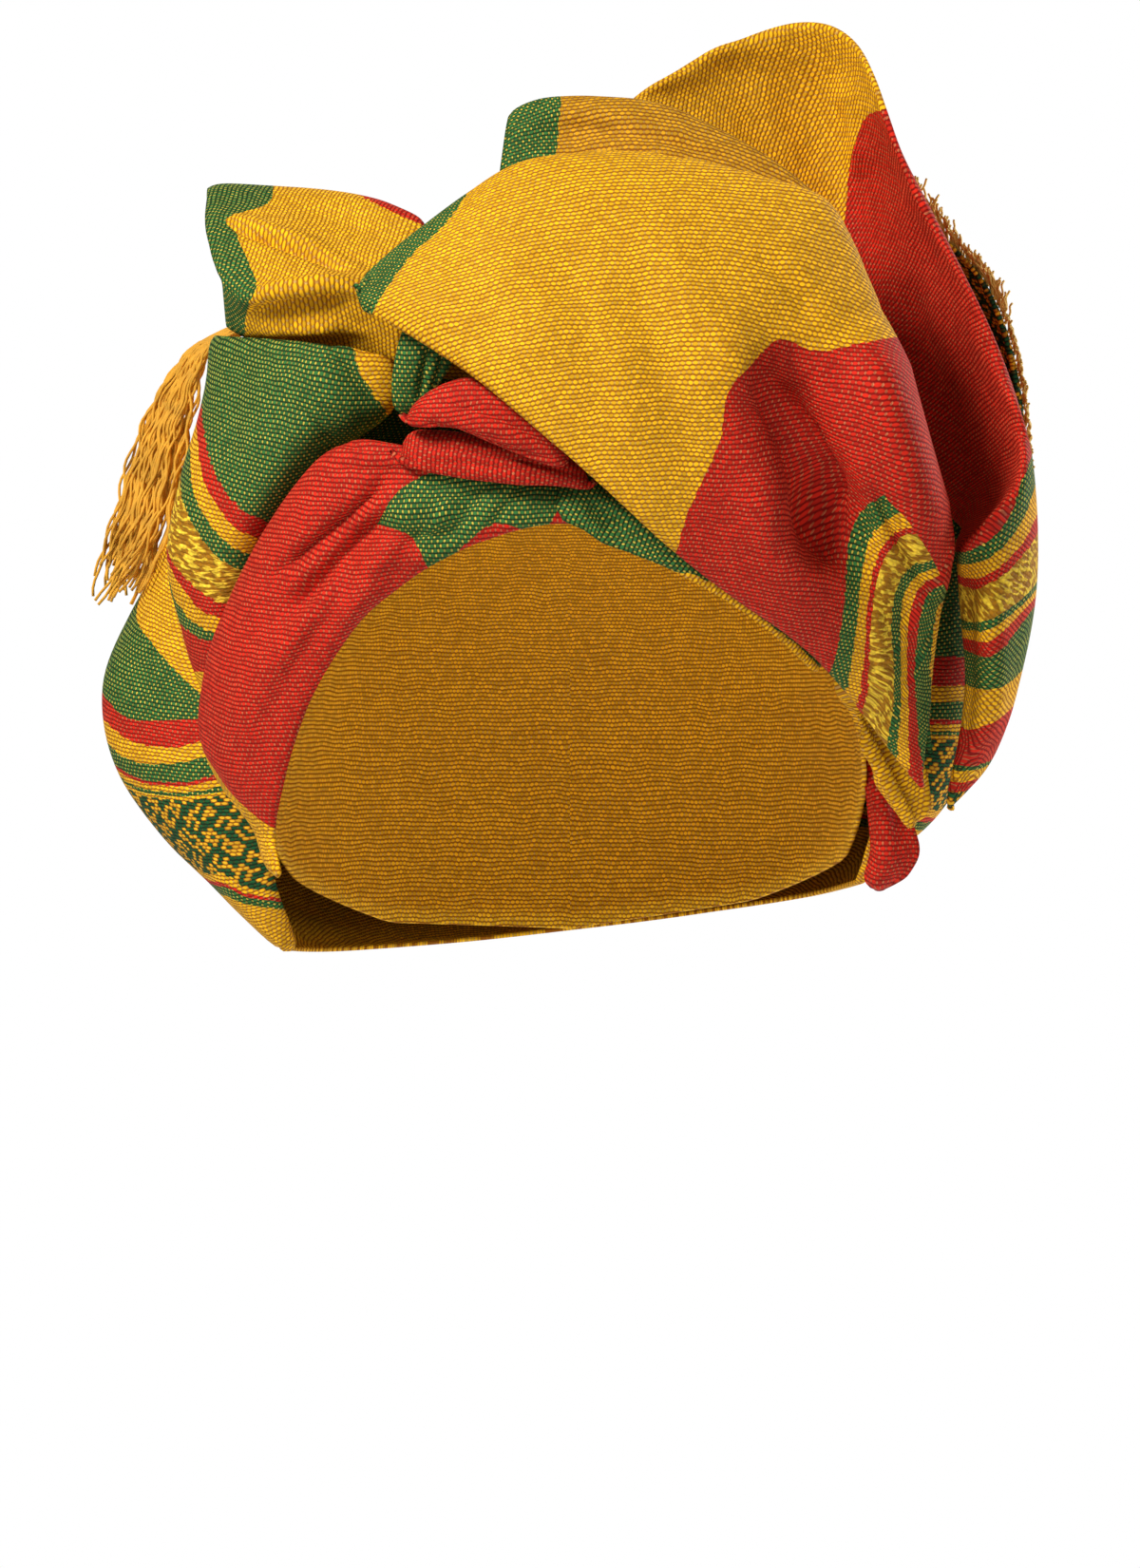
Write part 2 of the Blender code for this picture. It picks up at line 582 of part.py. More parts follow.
def left_upper_loop(collection):
    sections = [
        [
            (r.back_x, r.back_y, r.back_z),
            (r.top_x, r.top_y + 9, r.top_z - 4),
            (r.top_x, r.top_y, r.top_z),
            (r.dip_x, r.dip_y, r.dip_z),
            (r.ridge_x, r.ridge_y, r.ridge_z),
            (r.under_x, r.under_y, r.under_z),
        ]
        for r in UPPER_LOOP
    ]
    grid = place(sheet_grid(sections, along=8, across=15, tight=0.55))
    grid = laid_over(grid, ["back_wrap"])
    sheet_object("left_upper_loop", grid, YELLOW, collection)


def left_lower_loop(collection):
    sections = [
        [
            (r.in_x, r.in_y, r.in_z),
            (r.front_x, r.front_y, r.front_z),
            (r.left_x, r.left_y, r.left_z),
            (r.back_x, r.back_y, r.back_z),
        ]
        for r in LOWER_LOOP
    ]
    grid = place(sheet_grid(sections, along=10, across=9))
    grid = laid_over(grid, ["back_wrap", "left_upper_loop"])
    sheet_object("left_lower_loop", grid, GREEN, collection, HEAD_CENTRE)


def band_section(low_x, low_z, top, bulge):
    """One section of a band, from its edge on the head to its loose edge."""
    low = np.array((low_x, head_depth(low_x, low_z, CROWN_OFF_HEAD + CLEAR), low_z))
    middle = (low + top) / 2
    out = middle - HEAD_CENTRE
    out[1] -= 20
    out /= np.linalg.norm(out)
    return [low, 0.75 * low + 0.25 * top + 0.8 * bulge * out, middle + bulge * out,
            0.2 * low + 0.8 * top + 0.75 * bulge * out, top]


def band_left(collection):
    sections = [
        band_section(r.low_x, r.low_z, np.array((r.top_x, r.top_y, r.top_z)), r.bulge)
        for r in BAND_LEFT
    ]
    grid = place(sheet_grid(sections, along=16, across=9))
    grid = folded(grid, front_plane(grid), BAND_LEFT_FOLDS, HEAD_CENTRE)
    grid = laid_over(grid, ["back_wrap", "left_lower_loop"])
    sheet_object("band_left", grid, RED, collection, HEAD_CENTRE)


def band_right(collection):
    sections = []
    for r in BAND_RIGHT:
        top_y = head_depth(r.top_x, r.top_z, CROWN_OFF_HEAD + CLEAR) - 1
        sections.append(band_section(r.low_x, r.low_z, np.array((r.top_x, top_y, r.top_z)), r.bulge))
    grid = place(sheet_grid(sections, along=12, across=5))
    grid = folded(grid, front_plane(grid), BAND_RIGHT_FOLDS, HEAD_CENTRE)
    grid = laid_over(grid, ["band_left"])
    sheet_object("band_right", grid, GREEN, collection, HEAD_CENTRE)


def strand(name, rows, colour, under, collection):
    """A strand of the twist: a curved strip along its middle line, with rounded edges turned in."""
    sections = []
    for r in rows:
        middle = np.array((r.x, r.y, r.z))
        side = np.array((math.sin(r.lean), 0.0, math.cos(r.lean))) * r.half
        out = np.array((0.0, -1.0, 0.0)) * r.bulge
        back = -0.6 * out
        sections.append(
            [middle - 0.8 * side + back, middle - side, middle - 0.7 * side + 0.7 * out, middle + out,
             middle + 0.7 * side + 0.7 * out, middle + side, middle + 0.8 * side + back]
        )
    grid = place(sheet_grid(sections, along=8, across=8))
    grid = laid_over(grid, under)
    sheet_object(name, grid, colour, collection, HEAD_CENTRE)


def right_tuck(collection):
    sections = [
        [(r.in_x, r.in_y, r.in_z), (r.mid_x, r.mid_y, r.mid_z), (r.out_x, r.out_y, r.out_z)]
        for r in TUCK_RED
    ]
    grid = laid_over(place(sheet_grid(sections, along=8, across=5)), ["back_wrap"])
    sheet_object("tuck_red", grid, RED, collection, HEAD_CENTRE)
    sections = [
        [
            (r.in_x, r.in_y, r.in_z),
            (r.ridge_x, r.ridge_y, r.ridge_z),
            (r.groove_x, r.groove_y, r.groove_z),
            (r.out_x, r.out_y, r.out_z),
        ]
        for r in TUCK_YELLOW
    ]
    grid = laid_over(place(sheet_grid(sections, along=10, across=8, tight=0.4)), ["band_right"])
    sheet_object("tuck_yellow", grid, YELLOW, collection, HEAD_CENTRE)


def loop_section(row):
    """One section of a folded loop, from its front lower edge over its crest and down behind."""
    low = np.array((row.low_x, row.low_y, row.low_z))
    top = np.array((row.top_x, row.top_y, row.top_z))
    up = (top - low) / np.linalg.norm(top - low)
    out = np.cross(up, np.cross((0.0, -1.0, 0.0), up))
    out /= np.linalg.norm(out)
    high = top - 0.7 * row.roll * up
    return [
        low,
        low + 0.22 * (top - low) + 0.75 * row.belly * out,
        low + 0.50 * (top - low) + row.belly * out,
        low + 0.76 * (top - low) + (0.7 * row.belly + 0.4 * row.roll) * out,
        high + 0.9 * row.roll * out,
        top,
        high - 1.1 * row.roll * out,
        top - row.drop * 0.55 * up - 1.6 * row.roll * out,
        top - row.drop * up - 1.2 * row.roll * out,
    ]


def loop(name, rows, folds, colour, along, across, under, collection):
    grid = place(sheet_grid([loop_section(row) for row in rows], along, across))
    grid = folded(grid, front_plane(grid), folds, last=0.62)
    grid = laid_over(grid, under)
    sheet_object(name, grid, colour, collection)


def rear_fan(collection):
    sections = []
    for r in REAR_FAN:
        floor = np.array((r.floor_x, r.floor_y, r.floor_z))
        lip = np.array((r.lip_x, r.lip_y, r.lip_z))
        side = np.array((r.side_x, r.side_y, r.side_z))
        end = np.array((r.end_x, r.end_y, r.end_z))
        deep = np.array((0.0, r.hollow, 0.0))
        rise = (lip - floor) / np.linalg.norm(lip - floor)
        forward = np.array((0.0, -r.roll, 0.0))
        sections.append(
            [
                floor,
                floor + 0.45 * (lip - floor) + deep,
                floor + 0.82 * (lip - floor) + 0.5 * deep,
                lip - 0.8 * r.roll * rise + 0.5 * forward,
                lip,
                side,
                0.5 * (side + end) + np.array((3.0, -2.0, 3.0)),
                end,
            ]
        )
    grid = place(sheet_grid(sections, along=24, across=16))
    grid = folded(grid, front_plane(grid), REAR_FAN_FOLDS)
    grid = laid_over(grid, ["back_wrap", "front_fan", "middle_fold"])
    sheet_object("rear_fan", grid, RED, collection)


def tail_right(collection):
    sections = []
    for r in TAIL_RIGHT:
        edge = np.array((r.edge_x, r.edge_y, r.edge_z))
        inner = np.array((r.in_x, r.in_y, r.in_z))
        out = np.array((1.0, 0.2, 0.5)) * r.bulge
        sections.append([edge, 0.5 * (edge + inner) + out, inner])
    grid = place(sheet_grid(sections, along=10, across=4))
    grid = laid_over(grid, ["back_wrap", "rear_fan"])
    sheet_object("tail_right", grid, GREEN, collection, HEAD_CENTRE)
    return grid


def lock(path, width, thickness, across):
    """A tapered lock of twisted yarns along a path, as a closed mesh of its own."""
    path = [Vector(p) for p in path]
    mesh = bmesh.new()
    rings = []
    for i, point in enumerate(path):
        ahead = (path[min(i + 1, len(path) - 1)] - path[max(i - 1, 0)]).normalized()
        side = (Vector(across) - ahead * ahead.dot(Vector(across))).normalized()
        up = ahead.cross(side)
        taper = 1.0 - 0.62 * (i / (len(path) - 1)) ** 2
        ring = []
        for k in range(LOCK_SIDES):
            angle = 2 * math.pi * k / LOCK_SIDES
            offset = side * math.cos(angle) * width / 2 + up * math.sin(angle) * thickness / 2
            ring.append(mesh.verts.new((point + offset * taper) * MM))
        rings.append(ring)
    for ring, after in zip(rings, rings[1:]):
        for k in range(LOCK_SIDES):
            j = (k + 1) % LOCK_SIDES
            mesh.faces.new((ring[k], ring[j], after[j], after[k]))
    mesh.faces.new(rings[0][::-1])
    mesh.faces.new(rings[-1])
    bmesh.ops.recalc_face_normals(mesh, faces=mesh.faces)
    return mesh


def fringe(name, head, locks, collection, cutters):
    """A fringe: its locks joined to the corded head that they hang from."""
    group = bpy.data.collections.new(name + "_locks")
    cutters.children.link(group)
    for i, made in enumerate(locks):
        data = bpy.data.meshes.new(f"{name}_lock_{i}")
        made.to_mesh(data)
        made.free()
        piece = bpy.data.objects.new(f"{name}_lock_{i}", data)
        piece.hide_render = True
        piece.display_type = "WIRE"
        group.objects.link(piece)
    data = bpy.data.meshes.new(name)
    head.to_mesh(data)
    head.free()
    body = bpy.data.objects.new(name, data)
    body.data.materials.append(material(name, OCHRE))
    collection.objects.link(body)
    join = body.modifiers.new("Locks", "BOOLEAN")
    join.operation = "UNION"
    join.operand_type = "COLLECTION"
    join.collection = group
    join.solver = "EXACT"


def fringe_left(collection, cutters):
    front = place([(r.front_x, r.front_y, r.z) for r in FRINGE_LEFT])
    back = place([(r.back_x, r.back_y, r.z) for r in FRINGE_LEFT])
    steps = np.linspace(0, len(FRINGE_LEFT) - 1, 6)
    thickness = 4.5
    locks = []
    for i in range(LEFT_LOCKS):
        share = i / (LEFT_LOCKS - 1)
        guide = front + (back - front) * share
        guide = guide + np.array((-2.0 * math.sin(2.4 * i), 1.5 * math.cos(1.7 * i), 0.0))
        reach = 1.0 - 0.10 * (i % 3)
        path = curve_at(guide, steps * reach)[:, None]
        for _ in range(3):
            path = path + pushed_off(path, [NODES["back_wrap"]], CLOTH / 2 + GAP + thickness / 2)
        locks.append(lock(path[:, 0], width=8.0, thickness=thickness, across=(0.0, 1.0, 0.0)))
    run = [front[0] + (back[0] - front[0]) * s for s in np.linspace(-0.06, 1.06, 7)]
    head = lock(run, width=5.0, thickness=5.0, across=(1.0, 0.0, 0.0))
    fringe("fringe_left", head, locks, collection, cutters)


def fringe_right(collection, cutters, tail):
    """The short fringe along the tail's free edge, upright at the top and swept down its side."""
    edge = tail[:, 0]
    clear = np.array((1.0, -0.15, 0.6)) / np.linalg.norm((1.0, -0.15, 0.6))
    root = curve_at(edge, np.linspace(0.5, len(edge) - 3.5, 12)) + clear * (CLEAR + GAP)
    locks = []
    for i in range(RIGHT_LOCKS):
        at = 0.4 + i * (len(root) - 2.0) / RIGHT_LOCKS
        start, after = curve_at(root, np.array((at, at + 0.6)))
        along = (after - start) / np.linalg.norm(after - start)
        swept = i / (RIGHT_LOCKS - 1)
        rise = np.array((0.05, 0.0, 1.0)) * (1 - swept) + 0.15 * clear
        sweep = 8.0 * (rise + along * swept) * (1.0 - 0.12 * (i % 3))
        path = [start - 0.15 * sweep, start + 0.5 * sweep, start + sweep]
        locks.append(lock(path, width=5.0, thickness=2.4, across=(0.3, 1.0, 0.0)))
    head = lock(root, width=2.6, thickness=2.6, across=(0.0, 1.0, 0.0))
    fringe("fringe_right", head, locks, collection, cutters)


def main():
    for old in list(bpy.data.objects):
        bpy.data.objects.remove(old, do_unlink=True)
    wrap = bpy.data.collections.new("head_wrap")
    cutters = bpy.data.collections.new("cutters")
    cutters.hide_render = True
    bpy.context.scene.collection.children.link(wrap)
    bpy.context.scene.collection.children.link(cutters)

    crown_wrap(wrap)
    back_wrap(wrap)
    left_upper_loop(wrap)
    left_lower_loop(wrap)
    band_left(wrap)
    band_right(wrap)
    strand("knot_side", KNOT_SIDE, GREEN, ["left_upper_loop", "left_lower_loop", "band_left"], wrap)
    strand("knot_lower", KNOT_LOWER, RED, ["band_left", "band_right", "knot_side"], wrap)
    strand("knot_upper", KNOT_UPPER, RED, ["knot_lower", "knot_side"], wrap)
    right_tuck(wrap)
    before_fan = ["left_upper_loop", "left_lower_loop", "band_right", "knot_side", "knot_lower",
                  "knot_upper", "tuck_red", "tuck_yellow"]
    loop("front_fan", FRONT_FAN, FRONT_FAN_FOLDS, YELLOW, 18, 17, before_fan, wrap)
    loop("middle_fold", MIDDLE_FOLD, MIDDLE_FOLD_FOLDS, OCHRE, 10, 12, ["front_fan"], wrap)
    rear_fan(wrap)
    tail = tail_right(wrap)
    fringe_left(wrap, cutters)
    fringe_right(wrap, cutters, tail)


main()
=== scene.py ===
"""The head wrap as worn: the CAD model's sheets laid finer, with their folds, weave, colours and fringes."""

import math
import random
from collections import namedtuple

import bmesh
import bpy
import numpy as np
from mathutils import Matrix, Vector
from mathutils.bvhtree import BVHTree


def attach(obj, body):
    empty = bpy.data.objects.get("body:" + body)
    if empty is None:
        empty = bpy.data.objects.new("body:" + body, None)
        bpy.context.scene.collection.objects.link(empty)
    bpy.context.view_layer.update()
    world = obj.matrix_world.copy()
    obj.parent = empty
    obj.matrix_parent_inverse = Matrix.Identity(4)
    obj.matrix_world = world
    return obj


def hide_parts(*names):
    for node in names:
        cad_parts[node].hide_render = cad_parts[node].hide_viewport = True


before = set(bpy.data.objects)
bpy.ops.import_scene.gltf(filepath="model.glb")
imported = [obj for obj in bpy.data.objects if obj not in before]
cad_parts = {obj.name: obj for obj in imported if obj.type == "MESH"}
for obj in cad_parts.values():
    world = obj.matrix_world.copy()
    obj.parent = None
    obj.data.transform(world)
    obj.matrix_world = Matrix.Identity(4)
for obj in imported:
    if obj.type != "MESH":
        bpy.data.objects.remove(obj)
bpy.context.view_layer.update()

MM = 0.001

# Sizes, in millimetres
HEAD_HALF = np.array((77.0, 97.5, 108.0))
HEAD_CENTRE = np.array((0.0, 0.0, -108.0))
VIEW_DISTANCE = 2000.0
EYE_LEVEL = -96.0
CLOTH = 1.6
GAP = 0.4
CLEAR = CLOTH + GAP
CROWN_OFF_HEAD = 0.5 + CLOTH / 2
EDGE_ABOVE_BRIM = 4.0
FINE_CLOTH = 1.1

# How fine the grids of the visible cloth are, in millimetres
FINE_STEP = 1.5
FINE_STEPS = {"back_wrap": 2.6, "left_upper_loop": 1.0, "tuck_yellow": 0.7, "tuck_red": 0.8,
              "knot_side": 0.8, "knot_lower": 0.8, "knot_upper": 0.8}
CROWN_ROWS = 113
CROWN_COLUMNS = 41

# Hems, corners and ends
EDGE_TURN = 1.6
CORNER = 3.5
CORNERS = {"rear_fan": 12.0}
ROUND_ENDS = {"knot_upper": 7.0, "knot_lower": 6.0, "knot_side": 5.0, "tuck_red": 3.0}
NARROWEST_END = 0.12
END_SINK = 3.0
SOFT_ROWS = {"rear_fan": (4, 11)}

# The flat cloth: rounds of settling, and how far each goes
FLATTENING = 500
FLATTENING_STEP = 1.4

# Laying a sheet over others: soft rounds, then exact ones, and how near a sheet is looked for
SOFT_ROUNDS = 4
EXACT_ROUNDS = 4
REACH = 14.0

# The front view in pixels: its middle column, the row of the origin, and pixels to the millimetre
MIDDLE_COLUMN = 600
CROWN_ROW = 440
PIXELS_PER_MM = 4

# The camera, in metres and pixels
PHOTO_WIDTH = 1200
PIXEL = 0.00025
CAMERA_AWAY = 2.0
CAMERA_HEIGHT = -0.09625
SENSOR = 36.0

# The studio, in metres: the floor, and each light's name, watts, size and place
FLOOR_RADIUS = 0.9
FLOOR_LEVEL = -0.45
LIGHTS = (
    ("key", 38.0, 0.45, (-0.9, -1.2, 0.95)),
    ("fill", 2.5, 0.9, (1.1, -1.2, 0.3)),
    ("back", 20.0, 0.6, (1.25, 0.7, 0.5)),
)
LIT_POINT = (0.0, 0.0, -0.05)

# The fringes: bundles, yarns in each, their sizes in millimetres, and where the right one stands loose
LEFT_BUNDLES = 13
LEFT_YARNS = 8
LEFT_RADIUS = 0.42
RIGHT_LOOSE = 100
RIGHT_CLOSE = 60
RIGHT_RADIUS = 0.30
LOOSE_TO = 26.0
YARN_ROOT = 2.2


def table(columns, *rows):
    """Rows whose columns have names."""
    row_type = namedtuple("Row", columns)
    return [row_type(*row) for row in rows]


# A fold's start and end in the front view, how far it bows aside, its half width, and its rise
FOLD = "from_x from_z to_x to_z bow width rise"

# The front edge and the nape edge of the close layer: degrees round from the front, and height
BRIM = table(
    "turn height",
    (-180, -140), (-140, -138), (-110, -126), (-81, -107), (-75, -85), (-61, -67), (-50, -50),
    (-39, -40), (-19, -30), (0, -26), (30, -40), (47, -51), (71, -71), (88, -94), (110, -120),
    (140, -132), (180, -140),
)

# The full back, one row a level: its height at the left and at the right, how much lower the nape
# is, where it starts at the left front, how far it reaches left, right and back, and where it ends
BACK_WRAP = table(
    "z z_right sag left_x left_y left right back right_x right_y",
    (-138, -121, 6, -69, 32, -74, 74, 99, 72, 24),
    (-128, -116, 5, -76, 20, -86, 80, 114, 76, 16),
    (-116, -108, 4, -79, 14, -99, 90, 130, 80, 12),
    (-103, -98, 3, -80, 10, -112, 100, 143, 83, 12),
    (-86, -84, 2, -81, 7, -121, 107, 150, 85, 12),
    (-68, -68, 0, -82, 6, -122.5, 111, 152, 86, 12),
    (-48, -48, 0, -80, 5, -117, 113, 150, 86, 10),
    (-26, -26, 0, -76, 3, -107, 113, 143, 84, 6),
    (-5, -4, 0, -68, 0, -98, 109, 131, 78, 2),
    (15, 20, 0, -56, -2, -84, 97, 112, 66, 0),
    (31, 40, 0, -40, 4, -58, 76, 84, 46, 4),
    (40, 53, 0, -20, 12, -32, 44, 54, 24, 12),
    (45, 57, 0, -8, 16, -14, 18, 30, 10, 16),
)

# Its folds, in shares of the way round from the left front and of the way up
BACK_FOLDS = table(
    FOLD,
    (0.06, 0.34, 0.56, 0.7, 0.05, 0.05, -8),
    (0.16, 0.1, 0.8, 0.4, 0.08, 0.05, -8),
    (0.94, 0.3, 0.46, 0.78, -0.05, 0.05, -8),
    (0.96, 0.62, 0.55, 0.92, -0.02, 0.045, -6),
    (0.06, 0.62, 0.46, 0.92, 0.02, 0.045, -6),
    (0.3, 0.42, 0.66, 0.58, 0.02, 0.045, 4),
)

# The pleated fan at the upper left, from its open left end to its root by the twist
UPPER_LOOP = table(
    "back_x back_z back_y top_x top_z top_y dip_x dip_z dip_y ridge_x ridge_z ridge_y "
    "under_x under_z under_y",
    (-90, 36, 22, -95, 62, -4, -96, 51.5, -24, -92.5, 37, -40, -91, 23.5, -22),
    (-78, 34, 24, -77.5, 61, -8, -79, 48.5, -32, -83, 31.5, -48, -84, 20, -28),
    (-66, 32, 22, -63, 60, -12, -66, 43, -38, -70, 33, -54, -70, 18, -34),
    (-54, 33, 13, -50, 57.5, -20, -54, 39, -44, -56, 35, -56, -56, 16.5, -40),
    (-42, 34, 0, -38, 52, -30, -42, 35, -48, -43, 32, -56, -45, 14, -46),
)

# The hanging green lobe at the left, one row a level, from its hidden inner side round to its back
LOWER_LOOP = table(
    "in_x in_z in_y front_x front_z front_y left_x left_z left_y back_x back_z back_y",
    (-46, 16, -50, -68, 19.8, -50, -93.8, 21.5, -20, -88, 21, 14),
    (-46, 2, -49, -69, 5, -52, -94.5, 6.5, -22, -92, 6, 14),
    (-58, -8, -38, -77, -12, -44, -100, -12, -20, -97, -13, 14),
    (-74, -24, -30, -87, -30, -32, -104.5, -30, -14, -101, -31, 14),
    (-82, -44, -20, -92, -45, -22, -104.5, -43, -8, -102, -45, 12),
    (-85, -62, -11, -92, -62, -13, -100, -57, -6, -101, -60, 8),
    (-88, -76, -3, -91, -76, -4, -94, -75, -2, -95, -76, 2),
)

# The left band, from the twist down to the temple: its edge on the close layer and its loose edge
BAND_LEFT = table(
    "low_x low_z top_x top_z top_y bulge",
    (3, -27, 2, -12, -60, 3),
    (-8, -28, -12, -13, -64, 5),
    (-22, -32, -28, -9, -66, 7),
    (-37, -39, -42, -7, -66, 9),
    (-49, -48, -58, -5.5, -58, 11),
    (-60, -60, -69, -16, -44, 13),
    (-68, -73, -80, -34, -28, 13),
    (-73.5, -87, -90, -54, -15, 11),
    (-76.5, -98, -94.5, -73, -6, 9),
    (-78, -105, -94.5, -87, 0, 6),
    (-79, -111, -84, -103.5, 5, 2),
    (-77.5, -121, -79.5, -117, 11, 0.5),
)
BAND_LEFT_FOLDS = table(
    FOLD,
    (-42, -11, -67, -50, 2, 3.2, -5.5),
    (-40, -20, -62, -56, -1, 3.5, 3),
    (-52, -12, -84, -58, 3, 4, -3.5),
    (-30, -16, -44, -36, 1, 3, -3),
    (-56, -40, -88, -92, -4, 6, 2.5),
)

# The right underband, from the twist to the right temple
BAND_RIGHT = table(
    "low_x low_z top_x top_z bulge",
    (-4, -26.5, -3, -13, 1.5),
    (5, -29.5, 6, -14, 3),
    (15, -34, 17, -20, 3.5),
    (27, -40, 30, -28, 3),
    (40, -46.5, 43, -38, 2),
    (54, -56, 57, -49, 1),
    (66, -67, 68, -59, 0.5),
)
BAND_RIGHT_FOLDS = table(
    FOLD,
    (2, -22, 16, -30, -1.5, 2, -4),
    (4, -31, 24, -40, -1, 2.5, 2),
)

# The strands of the twist: middle line, half width and how far the middle stands out
KNOT_LOWER = table(
    "x z y half lean bulge",
    (-45, -8, -70, 4.5, 0.2, 2),
    (-38, -8.5, -74, 5.5, 0.1, 3),
    (-27, -10, -76, 6, 0, 4),
    (-14, -12, -77, 5.5, -0.1, 4),
    (-3, -13.5, -76, 4.5, -0.2, 3),
    (6, -17, -74, 3.5, -0.3, 2),
)
KNOT_UPPER = table(
    "x z y half lean bulge",
    (-44, 0, -80, 2.5, 0.3, 1),
    (-38, 2.5, -82, 5, 0.35, 3),
    (-29, 3.5, -84, 7.5, 0.3, 4),
    (-18, 0, -85, 8, 0.2, 4),
    (-8, -5, -84, 6.5, 0, 3),
    (0, -10, -83, 4.5, -0.2, 2),
)
KNOT_SIDE = table(
    "x z y half lean bulge",
    (-42, 0, -68, 4, 1.57, 1),
    (-41, 7, -71, 6, 1.57, 2),
    (-38, 16, -74, 8, 1.57, 3),
    (-34, 25, -75, 9.5, 1.57, 3),
    (-30, 34, -71, 9.5, 1.57, 2),
)

# The tuck at the right temple, from under the front loop down to its tip
TUCK_YELLOW = table(
    "in_x in_z in_y ridge_x ridge_z ridge_y groove_x groove_z groove_y out_x out_z out_y",
    (65, -66, -34, 68, -64.5, -36, 70, -63, -34, 73, -61, -34),
    (70.5, -77, -22, 74.5, -75, -26, 77, -73, -23, 81, -71, -23),
    (76, -90, -14, 81, -87.5, -18, 83.5, -85, -14, 88, -83, -15),
    (83, -101, -11, 86.5, -98.5, -14, 89.5, -96, -10, 93.5, -94, -11),
    (89, -109, -7, 91, -107.5, -9, 92.5, -106, -6, 94.2, -104, -7),
)
TUCK_RED = table(
    "in_x in_z in_y mid_x mid_z mid_y out_x out_z out_y",
    (75, -88, 8, 77.8, -87, 6, 80.5, -86, 8),
    (75.8, -97, 7, 79.8, -96, 4, 84, -95, 7),
    (76.6, -106, 5, 82, -106, 1, 88.5, -105, 5),
    (77, -115, 5, 83, -116, 1, 91, -114, 5),
    (76.6, -122, 9, 80.5, -123, 6, 86, -121, 9),
)

# The front loop, from its left tip to the tuck at the right: lower edge, crest, how far the front
# bellies out, half the thickness of the rolled crest, and how far the cloth comes down behind it
FRONT_FAN = table(
    "low_x low_z low_y top_x top_z top_y belly roll drop",
    (-55.5, 28.8, -80, -56.3, 35.5, -80, 1, 2, 4),
    (-42.5, 22, -86, -36, 52, -74, 5, 4, 24),
    (-25, 10.5, -92, -13.8, 66.5, -71, 9, 5, 38),
    (-10, -2, -94, 12.5, 70, -69, 12, 6, 44),
    (2.5, -12.5, -93, 40, 65.5, -67, 14, 6.5, 46),
    (17.5, -26.2, -88, 67.5, 57.5, -64, 15, 6.5, 46),
    (30, -37.5, -79, 76.3, 41.3, -65, 15, 7, 42),
    (45, -49.3, -70, 83.8, 20, -67, 13, 8, 38),
    (57.5, -58.8, -60, 89.5, 0, -65, 11, 8, 34),
    (67, -67.5, -48, 94.5, -17.5, -58, 9, 7.5, 28),
    (76.3, -77.5, -38, 99.5, -33.8, -48, 7, 5, 20),
    (85, -88.8, -30, 95.5, -60, -36, 4, 3, 11),
    (93, -98, -24, 94, -84, -27, 1, 1.5, 5),
)
FRONT_FAN_FOLDS = table(
    FOLD,
    (44, 14, 84, -46, -3, 7, -9),
    (70, 22, 98, -34, 3, 6, 3),
    (6, 50, 34, -24, 6, 9, -3),
    (-30, 46, -4, 6, 3, 7, 1.5),
)

# The ochre roll behind the front loop, in the same columns
MIDDLE_FOLD = table(
    "low_x low_z low_y top_x top_z top_y belly roll drop",
    (-20.5, 50, -62, -16, 81, -47, 3, 3.5, 26),
    (-8, 48, -63, -6, 83.7, -47, 4, 5, 34),
    (8, 46, -63, 10, 83.8, -47, 4, 5, 38),
    (28, 44, -62, 24, 82, -47, 4, 4.5, 38),
    (42, 40, -61, 37, 76.5, -47, 4, 4, 36),
    (54, 34, -59, 51, 69, -47, 3, 4, 32),
    (62, 30, -55, 64, 59, -49, 3, 3.5, 26),
    (68, 28, -53, 70, 52, -51, 2, 3, 18),
)
MIDDLE_FOLD_FOLDS = table(
    FOLD,
    (-14, 74, 20, 66, 2, 4, -2),
    (10, 74, 60, 50, 3, 4, 2),
)

